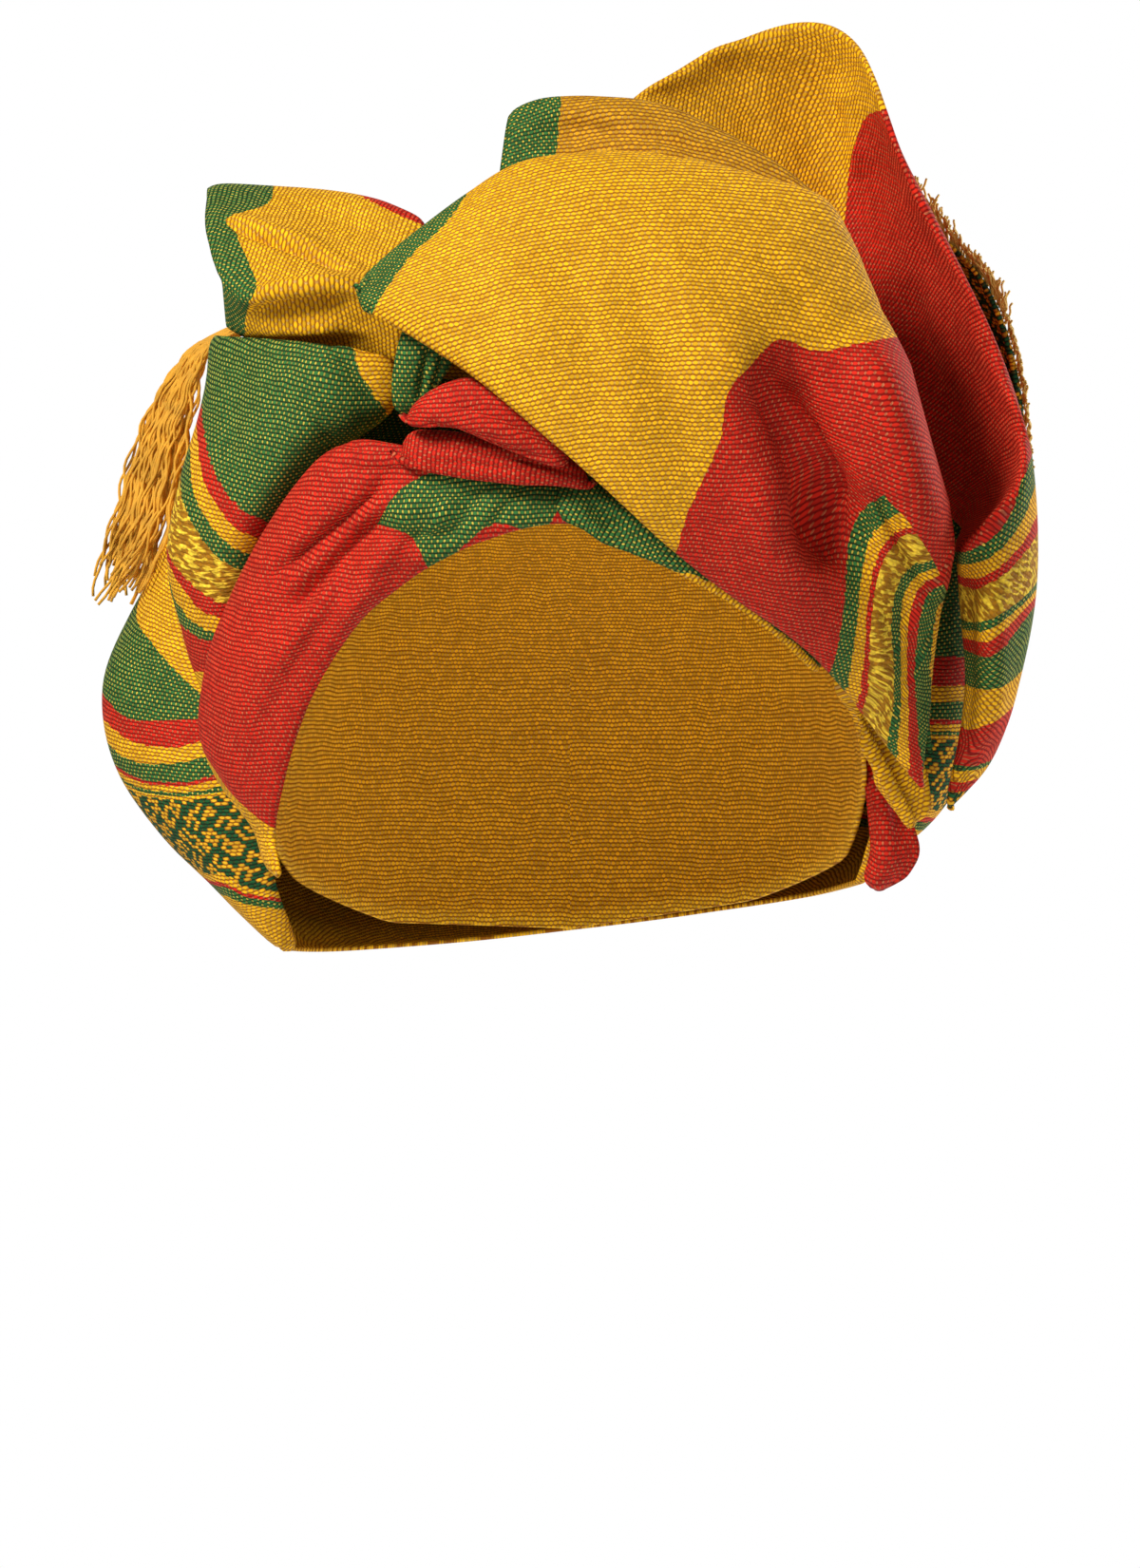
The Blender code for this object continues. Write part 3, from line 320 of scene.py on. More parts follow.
# The rear loop by spokes, from the top left round its lip to the foot of the hollow: the hollow's
# floor, the lip, the side past the lip, and the end of the cloth
REAR_FAN = table(
    "floor_x floor_z floor_y lip_x lip_z lip_y side_x side_z side_y end_x end_z end_y hollow roll",
    (10, 72, -26, 13.8, 83, -22, 14, 78, -8, 16, 62, 22, 1, 1.5),
    (25, 66, -24, 26, 89.8, -16, 27, 84, 0, 28, 60, 30, 3, 2.5),
    (37, 60, -22, 37.5, 96.3, -12, 38, 88, 8, 38, 57, 38, 5, 3),
    (49, 52, -18, 50, 103, -8, 50, 93, 12, 50, 52, 44, 7, 3.5),
    (58, 45, -14, 64.5, 106.6, -8, 62, 95, 14, 60, 47, 48, 9, 3.5),
    (65, 37, -8, 75.5, 103.5, -16, 73, 91, 8, 71, 42, 48, 11, 3.5),
    (71, 28, -4, 80.3, 94.5, -27, 78, 84, -4, 79, 38, 44, 12, 3),
    (76, 17, -2, 81.5, 80, -34, 80, 70, -10, 86, 33, 42, 12, 3),
    (80, 7, -2, 88, 68.5, -36, 86.5, 59, -12, 93, 26, 38, 12, 3.5),
    (84, -3, -4, 96.5, 52.5, -36, 95, 44, -14, 101, 16, 34, 11, 4),
    (88, -11, -8, 104, 37.5, -38, 103.5, 29, -14, 109, 2, 30, 10, 4.5),
    (92, -18, -8, 111.5, 20, -40, 111.5, 11, -16, 114.5, -16, 26, 8, 5),
    (96.5, -23, -12, 118, 3, -43, 119, -8, -20, 118.5, -42, 20, 6, 5),
    (100, -26, -16, 120.5, -9.5, -46, 122.5, -26, -28, 115, -76, 12, 4, 5),
    (102, -28, -20, 117, -20, -50, 120, -42, -36, 110, -92, 4, 2, 5),
    (102.5, -29.5, -24, 110, -28.5, -53, 111, -48, -42, 104.5, -99, -2, 0, 4),
    (102, -31.5, -26, 104, -33, -50, 104.5, -49, -36, 100.5, -103, -4, 0, 3),
    (101, -34, -26, 101.5, -38, -36, 101.5, -49, -22, 98.5, -104, 0, 0, 2),
)
REAR_FAN_FOLDS = table(
    FOLD,
    (70, 92, 78, 62, 3, 4, -3),
    (52, 92, 74, 50, -3, 7, -3),
    (110, -40, 106, -90, 2, 6, 2),
)

# The figured end of the shawl behind the hollow: its fringed outer edge and its inner side
TAIL_RIGHT = table(
    "edge_x edge_z edge_y in_x in_z in_y bulge",
    (88, 57, 30, 81, 41, 54, 1),
    (98.5, 48.5, 20, 90, 28, 46, 2),
    (107.5, 39.5, 18, 98, 18, 44, 2.5),
    (114, 27.5, 18, 104, 6, 44, 3),
    (118, 12.5, 20, 108.5, -8, 44, 3),
    (120, -3, 22, 111.5, -21, 44, 2),
    (120.5, -18, 26, 112.5, -35, 46, 1),
    (119.5, -32, 30, 112.5, -47, 48, 1),
)

# The left fringe hangs as a curtain down the back's left side: its front and back limits by level
FRINGE_LEFT = table(
    "z front_x front_y back_x back_y",
    (25, -91, 20, -92, 60),
    (14, -97, 22, -102, 66),
    (0, -100, 24, -110, 70),
    (-15, -103, 26, -114, 72),
    (-32, -108, 28, -117, 74),
    (-49, -115, 30, -122, 74),
)

# Where colours change on a piece: lines in quarter millimetres of the front view, right and down from
# its corner, with the number that the colour scale of the piece has on the line
Line = namedtuple("Line", "at points")
LINES = {
    "front_fan": [
        Line(-80, ((386, 340), (400, 314), (432, 270), (466, 240), (492, 205))),
        Line(0, ((708, 590), (722, 540), (745, 490), (757, 460), (760, 430), (768, 405), (790, 380),
                 (812, 358), (830, 356), (850, 365), (870, 368), (900, 362), (940, 355))),
        Line(40, ((868, 725), (873, 710), (881, 678), (887, 640), (889, 608), (893, 574), (900, 550),
                  (914, 530), (928, 521), (950, 512))),
        Line(52.3, ((932, 790), (934, 769), (938, 737), (938, 707), (935, 667), (936, 635), (943, 611),
                    (959, 592), (978, 586), (1000, 580))),
        Line(60.1, ((969, 830), (967, 801), (964, 780), (962, 747), (960, 707), (963, 667), (967, 640),
                    (975, 622), (991, 612), (1010, 606))),
    ],
    "middle_fold": [Line(0, ((580, 240), (586, 160), (590, 110), (592, 60)))],
    "rear_fan": [
        Line(0, ((870, 400), (880, 300), (890, 225), (895, 180), (902, 150), (911, 126), (924, 117),
                 (960, 112))),
        Line(100, ((960, 576), (978, 580), (1002, 581), (1020, 578), (1045, 563), (1063, 539),
                   (1074, 507), (1083, 480), (1092, 440), (1100, 380), (1110, 250))),
        Line(122, ((985, 622), (1002, 640), (1018, 651), (1037, 651), (1058, 640), (1079, 624),
                   (1095, 603), (1110, 580), (1140, 500))),
        Line(140.3, ((985, 690), (1006, 707), (1020, 719), (1042, 724), (1063, 715), (1079, 697),
                     (1085, 678), (1100, 640), (1140, 580))),
        Line(159.5, ((970, 768), (980, 780), (994, 798), (1015, 805), (1037, 801), (1053, 790),
                     (1075, 765), (1100, 720), (1140, 660))),
        Line(165.5, ((965, 815), (978, 828), (1004, 830), (1026, 825), (1045, 812), (1070, 790),
                     (1110, 740))),
    ],
    "left_upper_loop": [
        Line(0, ((258, 360), (262, 320), (271, 305), (265, 285), (250, 250), (240, 231), (284, 215),
                 (288, 180))),
        Line(40, ((455, 245), (436, 236), (400, 219), (364, 202), (330, 190))),
    ],
    "left_lower_loop": [
        Line(-18, ((372, 360), (378, 385), (392, 410), (412, 440))),
        Line(0, ((214, 430), (216, 454), (223, 488), (236, 513), (254, 534), (275, 545), (310, 560))),
        Line(4, ((209, 440), (210, 461), (214, 497), (225, 524), (243, 549), (261, 561), (300, 575))),
        Line(8, ((200, 450), (203, 472), (204, 506), (214, 536), (229, 558), (252, 577), (290, 592))),
        Line(12, ((190, 470), (192, 491), (194, 527), (207, 556), (225, 581), (241, 593), (255, 599),
                  (290, 610))),
        Line(22, ((176, 560), (179, 581), (189, 599), (207, 616), (225, 629), (243, 634), (280, 640))),
        Line(30, ((176, 610), (180, 634), (193, 656), (211, 670), (229, 675), (260, 680))),
        Line(38, ((170, 650), (178, 676), (193, 700), (218, 706), (250, 708))),
    ],
    "back_wrap": [
        Line(0, ((-300, 400), (-100, 400), (40, 450), (110, 560), (128, 600), (136, 627), (143, 652),
                 (163, 680), (180, 700), (198, 719), (216, 735), (260, 760))),
        Line(30, ((-300, 689), (-100, 690), (40, 712), (100, 728), (116, 738), (127, 750), (141, 757),
                  (170, 758), (212, 752), (260, 740))),
        Line(37, ((-300, 717), (-100, 718), (40, 740), (100, 754), (119, 764), (131, 774), (147, 781),
                  (167, 785), (188, 786), (206, 781), (222, 776), (260, 766))),
        Line(41, ((-300, 733), (-100, 734), (40, 758), (105, 780), (127, 793), (137, 798), (149, 802),
                  (182, 802), (206, 798), (225, 792), (260, 782))),
        Line(46, ((-300, 753), (-100, 754), (40, 778), (110, 802), (134, 812), (151, 819), (167, 822),
                  (192, 823), (214, 819), (231, 814), (260, 806))),
        Line(70, ((-300, 849), (-100, 850), (40, 870), (150, 896), (200, 914), (243, 921), (255, 931),
                  (276, 935), (298, 937), (340, 937))),
        Line(75, ((-300, 869), (-100, 870), (40, 890), (150, 916), (200, 934), (243, 941), (255, 948),
                  (276, 952), (298, 954), (340, 954))),
    ],
    "band_left": [
        Line(0, ((470, 620), (446, 588), (430, 564), (397, 555), (394, 550), (420, 512), (460, 491),
                 (520, 470))),
        Line(30, ((460, 600), (485, 568), (520, 545), (560, 552), (575, 545), (600, 500), (640, 460))),
    ],
    "band_right": [Line(0, ((560, 620), (640, 598), (712, 600), (760, 620), (850, 690), (880, 730)))],
    "tail_right": [
        Line(0, ((980, 210), (1010, 232), (1035, 262), (1056, 296), (1070, 340), (1080, 400), (1088, 470))),
        Line(8, ((960, 225), (992, 245), (1020, 275), (1040, 305), (1055, 345), (1064, 400), (1072, 470))),
    ],
}

# The colour scale of a piece: from which number each colour starts
Band = namedtuple("Band", "start colour")
LOWEST = -999


def bands(first, *steps):
    """The first colour, and then pairs of a number and the colour that starts at it."""
    return [Band(LOWEST, first)] + [Band(*step) for step in zip(steps[::2], steps[1::2])]


BANDS = {
    "crown_wrap": bands("yellow"),
    "front_fan": bands(
        "green", -80, "yellow", 0, "red", 40, "green", 43.6, "yellow", 46.4, "red", 47.7, "gold",
        52.3, "green", 55, "yellow", 57.6, "red", 60.1, "green", 64, "yellow",
    ),
    "middle_fold": bands("green", 0, "ochre"),
    "rear_fan": bands(
        "yellow", 0, "red", 100, "green", 105, "yellow", 109, "red", 112, "gold", 122, "green",
        124.8, "yellow", 128, "red", 131.5, "green", 140.3, "yellow", 150.8, "red", 159.5, "green",
        161, "yellow", 163.2, "red", 165.5, "figured",
    ),
    "left_upper_loop": bands("green", 0, "yellow", 40, "red"),
    "left_lower_loop": bands(
        "yellow", -18, "green", 0, "red", 4, "yellow", 8, "green", 12, "gold", 22, "red", 25, "yellow",
        28, "green", 30, "red", 38, "yellow",
    ),
    "back_wrap": bands(
        "yellow", 0, "green", 30, "red", 37, "yellow", 41, "green", 46, "red", 47, "yellow",
        49, "green", 50, "yellow", 51.2, "figured", 70, "yellow", 72, "red", 73, "green", 75, "yellow",
    ),
    "band_left": bands("yellow", -500, "red", 0, "green", 30, "red"),
    "band_right": bands("green", 0, "yellow"),
    "knot_side": bands("green"),
    "knot_lower": bands("red"),
    "knot_upper": bands("red"),
    "tuck_red": bands("red"),
    "tuck_yellow": bands("yellow"),
    "tail_right": bands("gold", 1.5, "green", 3, "yellow", 4, "figured"),
}

# Where a piece shows one more layer in another colour: the line it starts at and the colour's number
CUTS = {
    "front_fan": Line(20, ((1004, 650), (991, 612), (978, 582), (955, 545), (932, 516), (962, 490),
                           (1050, 468))),
    "band_left": Line(-600, ((205, 770), (222, 800), (243, 831), (264, 852), (286, 869), (310, 878))),
}

# Finer folds than the solids have, in the same columns
FINE_FOLDS = {
    "left_upper_loop": table(
        FOLD,
        (-92, 51, -56, 37.5, 0.4, 1, -3),
        (-92, 53.5, -56, 40.5, 0.4, 1.4, 1.8),
        (-86, 31.5, -56, 35.5, 0.5, 1.5, 3),
        (-86, 27, -56, 31, 0.5, 2.2, -4.6),
        (-84, 22.5, -58, 25, 0.5, 1.8, 2),
        (-80, 57, -48, 47, 1, 2.5, -0.8),
        (-70, 45, -50, 39.5, 0.5, 1, -0.9),
        (-76, 24, -50, 22, 1, 1.6, 1),
    ),
    "left_lower_loop": table(
        FOLD,
        (-62, 19, -50, 2, 1, 2, -1.6),
        (-70, 17, -56, -4, 1.5, 2.4, 1.2),
        (-84, 18, -90, -16, -1.5, 3.5, -1.2),
        (-76, 6, -60, -10, 1, 2, -1.2),
    ),
    "band_left": table(
        FOLD,
        (-44, -12, -82, -44, 1.5, 1.8, -3.2),
        (-46, -22, -76, -56, -1.5, 2.6, -3.4),
        (-44, -17, -79, -50, 0.2, 2.2, 1.8),
        (-40, -9, -62, -6.5, 0.8, 1, -1.4),
        (-42, -12.5, -64, -13, 0.8, 1, -1.3),
        (-58, -46, -84, -90, -4, 3.5, -1.6),
        (-56, -38, -80, -74, -3, 2.6, 1.4),
        (-22, -15, -34, -34, 1, 1.8, -1.6),
        (-12, -14, -22, -30, 0.8, 1.6, -1.4),
        (-28, -14, -42, -36, 1, 1.8, 1.2),
    ),
    "band_right": table(
        FOLD,
        (2, -20, 24, -36, -1, 1.2, -1.8),
        (6, -28, 34, -44, -1, 1.3, -1.4),
        (10, -22, 40, -41, -1, 1.4, 1),
    ),
    "knot_lower": table(
        FOLD,
        (-42, -7, 4, -15.5, 1.2, 0.9, -1.2),
        (-38, -11.5, -2, -16.5, 1.2, 0.9, -1),
    ),
    "knot_upper": table(
        FOLD,
        (-42, 1, -2, -11, -1.2, 0.9, -1.3),
        (-36, 4.5, -4, -8, 1.5, 1.1, -1),
        (-40, -0.5, -12, -6, -0.6, 0.7, -0.8),
    ),
    "knot_side": table(
        FOLD,
        (-40, 2, -34, 30, 0.8, 1.4, -1.8),
        (-37, 2, -29, 28, 0.8, 1.2, -1.2),
    ),
    "front_fan": table(
        FOLD,
        (56, 24, 72, -44, 2, 8.5, -11),
        (78, 30, 98, -42, -1, 6, 5),
        (36, 30, 54, -38, 3, 6, 4),
        (80, -16, 95, -46, -1, 2.2, -3),
        (-6, 52, 8, -8, 4, 6, -1.2),
        (22, 54, 34, -14, 4, 6, 1),
        (-30, 46, -20, 14, 2, 5, -1),
        (46, 44, 66, 24, 2, 3, -1.2),
        (86, -34, 88, -72, 1, 2.4, -1.8),
        (78, -44, 82, -74, 1, 2.4, 1.4),
    ),
    "middle_fold": table(
        FOLD,
        (-12, 77, 44, 66, 3, 2, -1.2),
        (0, 71, 40, 62, 3, 2, 1),
    ),
    "rear_fan": table(
        FOLD,
        (70, 92, 78, 62, 3, 4, 3),
        (48, 92, 62, 64, -1.5, 4, 1.2),
        (90, 40, 104, -4, -4, 4, -1.8),
        (84, 30, 98, -12, -3, 3, 1.2),
        (103, -36, 103, -94, 1.5, 2.6, -2.4),
        (110, -40, 110, -88, 1.5, 3, 1.4),
    ),
    "tuck_yellow": table(
        FOLD,
        (68, -63, 92, -107, 1.5, 0.8, -4),
        (65, -66, 89, -108.5, 1.5, 0.9, 1.6),
        (72, -63, 94, -103, 1.5, 0.9, 1.6),
        (75, -67, 94, -103, 1.5, 0.7, -2.6),
    ),
    "tuck_red": table(
        FOLD,
        (77, -90, 80, -121, 0.5, 1, 1.2),
        (79, -88, 84, -118, 1, 1.2, -1.2),
    ),
}

# What is kept of each settled sheet: what later sheets need of it, its grid, and its centre
NODES = {}
GRIDS = {}
CENTRES = {}


def place(points):
    """Real places of points given as they look from the front, at their depth."""
    x, y, z = np.moveaxis(np.asarray(points, float), -1, 0)
    nearer = (VIEW_DISTANCE + y) / VIEW_DISTANCE
    return np.stack((x * nearer, y, EYE_LEVEL + (z - EYE_LEVEL) * nearer), axis=-1)


def head_depth(x, z, off):
    """Depth of the inner ellipsoid's front at a place of the front view, a given distance off it."""
    half = HEAD_HALF + off
    y = 0.0
    for _ in range(4):
        real = place((x, y, z))
        left = 1 - (real[0] / half[0]) ** 2 - ((real[2] - HEAD_CENTRE[2]) / half[2]) ** 2
        y = -half[1] * math.sqrt(max(left, 0.0))
    return y


def clear_of_head(points, off):
    """Moves points that are nearer to the inner ellipsoid than a distance out to it."""
    from_centre = points - HEAD_CENTRE
    out = np.linalg.norm(from_centre / (HEAD_HALF + off), axis=-1, keepdims=True)
    return HEAD_CENTRE + from_centre / np.minimum(out, 1.0)


def curve_at(points, at, tight=0.0):
    """The smooth curve through points, at places counted in points. Tight 1 gives straight runs."""
    points = np.asarray(points, float)
    last = len(points) - 1
    at = np.clip(at, 0, last)
    start = np.minimum(at.astype(int), last - 1)
    t = (at - start).reshape((-1,) + (1,) * (points.ndim - 1))
    before = np.where(
        (start > 0).reshape(t.shape), points[start - 1], 2 * points[start] - points[start + 1]
    )
    after = np.where(
        (start < last - 1).reshape(t.shape),
        points[np.minimum(start + 2, last)],
        2 * points[start + 1] - points[start],
    )
    ease = (1 - tight) / 2
    slope_a = ease * (points[start + 1] - before) + tight * (points[start + 1] - points[start])
    slope_b = ease * (after - points[start]) + tight * (points[start + 1] - points[start])
    square = t * t
    cube = square * t
    return (
        (2 * cube - 3 * square + 1) * points[start]
        + (cube - 2 * square + t) * slope_a
        + (3 * square - 2 * cube) * points[start + 1]
        + (cube - square) * slope_b
    )


def even_steps(points, count, tight=0.0):
    """Places along a curve, counted in its points, that are the same distance apart."""
    fine = np.linspace(0, len(points) - 1, 12 * (len(points) - 1) + 1)
    run = curve_at(points, fine, tight)
    lengths = np.linalg.norm(np.diff(run.reshape(len(fine), -1, 3), axis=0), axis=2).mean(axis=1)
    total = np.concatenate(((0,), np.cumsum(lengths)))
    return np.interp(np.linspace(0, total[-1], count), total, fine)


def sheet_grid(sections, along, across, tight=0.0):
    """A grid of points over a sheet, from its sections, each a list of (x, y, z)."""
    profiles = np.array([curve_at(s, even_steps(s, across + 1, tight), tight) for s in sections])
    return curve_at(profiles, even_steps(profiles, along + 1))


def grid_normals(grid):
    """The way each point of a grid faces."""
    along = np.gradient(grid, axis=0)
    across = np.gradient(grid, axis=1)
    normal = np.cross(along, across)
    return normal / np.maximum(np.linalg.norm(normal, axis=2, keepdims=True), 1e-9)


def outward(grid, centre=None):
    """The way each point of a grid faces, turned away from a centre, or else from the grid's own middle."""
    normals = grid_normals(grid)
    middle = grid.mean(axis=(0, 1)) if centre is None else centre
    return normals * (1 if (normals * (grid - middle)).sum() > 0 else -1)


def folded(grid, plane, folds, centre=None, last=1.0):
    """Raises or sinks a grid along folds drawn on a plane of two numbers a point."""
    height = np.zeros(grid.shape[:2])
    share = np.linspace(0, 1, grid.shape[1])[None, :]
    kept = np.clip((last - share) / 0.1, 0, 1)
    for fold in folds:
        start = np.array((fold.from_x, fold.from_z))
        run = np.array((fold.to_x, fold.to_z)) - start
        length = np.linalg.norm(run)
        ahead = run / length
        side = np.array((-ahead[1], ahead[0]))
        t = (plane - start) @ ahead / length
        inside = np.clip(t, 0, 1)
        off = (plane - start) @ side - 4 * fold.bow * inside * (1 - inside)
        past = (t - inside) * length
        ends = np.clip(np.minimum(inside, 1 - inside) / 0.25, 0.15, 1)
        height += fold.rise * ends * np.exp(-(off**2 + past**2) / fold.width**2)
    return grid + (height * kept)[:, :, None] * outward(grid, centre)


def front_plane(grid):
    """The front view's x and z of a grid of real places."""
    nearer = (VIEW_DISTANCE + grid[:, :, 1]) / VIEW_DISTANCE
    return np.stack((grid[:, :, 0] / nearer, EYE_LEVEL + (grid[:, :, 2] - EYE_LEVEL) / nearer), axis=2)


def softened(field):
    """A grid of shifts, each evened out with its neighbours."""
    padded = np.pad(field, ((1, 1), (1, 1), (0, 0)), mode="edge")
    return (padded[:-2, 1:-1] + padded[2:, 1:-1] + padded[1:-1, :-2] + padded[1:-1, 2:]) / 8 + field / 2


def corners_of(rows, columns):
    """The quads of a grid, as numbers of its points."""
    index = np.arange(rows * columns).reshape(rows, columns)
    faces = np.stack((index[:-1, :-1], index[1:, :-1], index[1:, 1:], index[:-1, 1:]), axis=2)
    return faces.reshape(-1, 4)


def tree_of(grid):
    """A grid as quads that can be searched."""
    points = [Vector(p) for p in grid.reshape(-1, 3)]
    return BVHTree.FromPolygons(points, corners_of(*grid.shape[:2]).tolist())


def sheet_surface(grid, centre):
    """What later sheets need of a finished one: its points, the way they face, and a search tree."""
    return grid.reshape(-1, 3), outward(grid, centre).reshape(-1, 3), tree_of(grid), grid.shape


def facing_at(surface, quad, near):
    """The outward way of a finished sheet at a place on one of its quads."""
    points, ways, _, shape = surface
    row, column = divmod(quad, shape[1] - 1)
    corners = [row * shape[1] + column, (row + 1) * shape[1] + column]
    corners += [corners[0] + 1, corners[1] + 1]
    weight = 1.0 / (np.linalg.norm(points[corners] - near, axis=1) + 0.5)
    way = (ways[corners] * weight[:, None]).sum(axis=0)
    return way / np.linalg.norm(way)


def pushed_off(grid, surfaces, clear):
    """The shift that takes each point of a grid clear of the sheets beneath it."""
    shift = np.zeros_like(grid)
    for at in np.ndindex(grid.shape[:2]):
        for surface in surfaces:
            point = grid[at] + shift[at]
            near, _, quad, distance = surface[2].find_nearest(Vector(point), REACH)
            if near is None:
                continue
            way = facing_at(surface, quad, np.array(near))
            height = (point - np.array(near)) @ way
            aside = math.sqrt(max(distance**2 - height**2, 0.0))
            if height < clear and aside < clear:
                shift[at] += way * (clear - height)
    return shift


def lifted_by(grid, surfaces, clear):
    """The shift that takes a grid's quads clear of the points of the sheets beneath it."""
    shift = np.zeros_like(grid)
    low, high = grid.min(axis=(0, 1)) - clear, grid.max(axis=(0, 1)) + clear
    tree = tree_of(grid)
    for points, ways, _, _ in surfaces:
        inside = ((points > low) & (points < high)).all(axis=1)
        for point, way in zip(points[inside], ways[inside]):
            near, _, quad, distance = tree.find_nearest(Vector(point), REACH)
            if near is None:
                continue
            height = (np.array(near) - point) @ way
            aside = math.sqrt(max(distance**2 - height**2, 0.0))
            if height >= clear or aside >= clear:
                continue
            row, column = divmod(quad, grid.shape[1] - 1)
            for at in ((row, column), (row + 1, column), (row, column + 1), (row + 1, column + 1)):
                if (clear - height) > np.linalg.norm(shift[at]):
                    shift[at] = way * (clear - height)
    return shift


def laid_over(grid, under):
    """Lays a grid over earlier sheets and the close layer."""
    surfaces = [NODES[name] for name in under]
    off_head = CROWN_OFF_HEAD + CLEAR
    for _ in range(SOFT_ROUNDS):
        grid = clear_of_head(grid, off_head)
        grid = grid + softened(softened(pushed_off(grid, surfaces, CLEAR)))
        grid = grid + softened(lifted_by(grid, surfaces, CLEAR))
    for _ in range(EXACT_ROUNDS):
        grid = clear_of_head(grid, off_head)
        grid = grid + pushed_off(grid, surfaces, CLEAR)
        grid = grid + lifted_by(grid, surfaces, CLEAR)
    return grid


def lay(name, grid, centre=None):
    """Keeps a settled sheet for the ones after it, and its points for the finer cloth."""
    NODES[name] = sheet_surface(grid, centre)
    GRIDS[name] = grid
    CENTRES[name] = centre


def settle(name, sections, size, under, centre=None, folds=(), tight=0.0, last=1.0):
    """Makes a sheet from its sections, raises its folds, lays it over earlier sheets and keeps it."""
    grid = place(sheet_grid(sections, *size, tight))
    if folds:
        grid = folded(grid, front_plane(grid), folds, centre, last)
    lay(name, laid_over(grid, under), centre)


def points_of(row, names):
    """The named points of a table's row, each as (x, y, z)."""
    return [tuple(getattr(row, name + "_" + axis) for axis in "xyz") for name in names.split()]


def back_section(row):
    """One level of the full back, from its left front round to its right front."""
    side_y = 0.30 * row.back + 0.5 * row.left_y
    outline = [
        (row.left_x, row.left_y),
        ((row.left_x + row.left) / 2 - 4, (row.left_y + side_y) / 2 - 12),
        (row.left, side_y),
        (0.80 * row.left, 0.76 * row.back),
        (0.38 * row.left, 0.97 * row.back),
        (0.0, row.back),
        (0.38 * row.right, 0.97 * row.back),
        (0.80 * row.right, 0.76 * row.back),
        (row.right, side_y),
        ((row.right_x + row.right) / 2 + 4, (row.right_y + side_y) / 2 - 12),
        (row.right_x, row.right_y),
    ]
    section = []
    for x, y in outline:
        z = np.interp(x, (row.left, row.right), (row.z, row.z_right))
        section.append((x, y, z - row.sag * np.clip(y / row.back, 0, 1)))
    return section


def back_wrap():
    """The full back, with folds placed by its share along and across."""
    grid = place(sheet_grid([back_section(row) for row in BACK_WRAP], along=13, across=26))
    share = np.stack(
        np.meshgrid(np.linspace(0, 1, grid.shape[1]), np.linspace(0, 1, grid.shape[0])), axis=2
    )
    grid = folded(grid, share, BACK_FOLDS, HEAD_CENTRE)
    lay("back_wrap", laid_over(grid, []), HEAD_CENTRE)


def left_upper_loop():
    """The pleated fan at the upper left."""
    sections = []
    for r in UPPER_LOOP:
        back, top, *rest = points_of(r, "back top dip ridge under")
        sections.append([back, (r.top_x, r.top_y + 9, r.top_z - 4), top, *rest])
    settle("left_upper_loop", sections, (8, 15), ["back_wrap"], tight=0.55)


def left_lower_loop():
    """The lobe with the striped end at the left."""
    sections = [points_of(r, "in front left back") for r in LOWER_LOOP]
    settle("left_lower_loop", sections, (10, 9), ["back_wrap", "left_upper_loop"], HEAD_CENTRE)


def band_section(low_x, low_z, top, bulge):
    """One section of a band, from its edge on the close layer to its loose edge."""
    low = np.array((low_x, head_depth(low_x, low_z, CROWN_OFF_HEAD + CLEAR), low_z))
    middle = (low + top) / 2
    out = middle - HEAD_CENTRE
    out[1] -= 20
    out /= np.linalg.norm(out)
    return [low, 0.75 * low + 0.25 * top + 0.8 * bulge * out, middle + bulge * out,
            0.2 * low + 0.8 * top + 0.75 * bulge * out, top]


def band_left():
    """The pleated band from the twist down to the left temple."""
    sections = [
        band_section(r.low_x, r.low_z, np.array((r.top_x, r.top_y, r.top_z)), r.bulge)
        for r in BAND_LEFT
    ]
    under = ["back_wrap", "left_lower_loop"]
    settle("band_left", sections, (16, 9), under, HEAD_CENTRE, BAND_LEFT_FOLDS)


def band_right():
    """The underband along the right half of the front edge."""
    sections = []
    for r in BAND_RIGHT:
        top_y = head_depth(r.top_x, r.top_z, CROWN_OFF_HEAD + CLEAR) - 1
        sections.append(band_section(r.low_x, r.low_z, np.array((r.top_x, top_y, r.top_z)), r.bulge))
    settle("band_right", sections, (12, 5), ["band_left"], HEAD_CENTRE, BAND_RIGHT_FOLDS)


def strand(name, rows, under):
    """A strand of the twist: a curved strip along its middle line, with rounded edges turned in."""
    sections = []
    for r in rows:
        middle = np.array((r.x, r.y, r.z))
        side = np.array((math.sin(r.lean), 0.0, math.cos(r.lean))) * r.half
        out = np.array((0.0, -1.0, 0.0)) * r.bulge
        back = -0.6 * out
        sections.append(
            [middle - 0.8 * side + back, middle - side, middle - 0.7 * side + 0.7 * out, middle + out,
             middle + 0.7 * side + 0.7 * out, middle + side, middle + 0.8 * side + back]
        )
    settle(name, sections, (8, 8), under, HEAD_CENTRE)


def right_tuck():
    """The two parts of the tuck at the right temple."""
    sections = [points_of(r, "in mid out") for r in TUCK_RED]
    settle("tuck_red", sections, (8, 5), ["back_wrap"], HEAD_CENTRE)
    sections = [points_of(r, "in ridge groove out") for r in TUCK_YELLOW]
    settle("tuck_yellow", sections, (10, 8), ["band_right"], HEAD_CENTRE, tight=0.4)


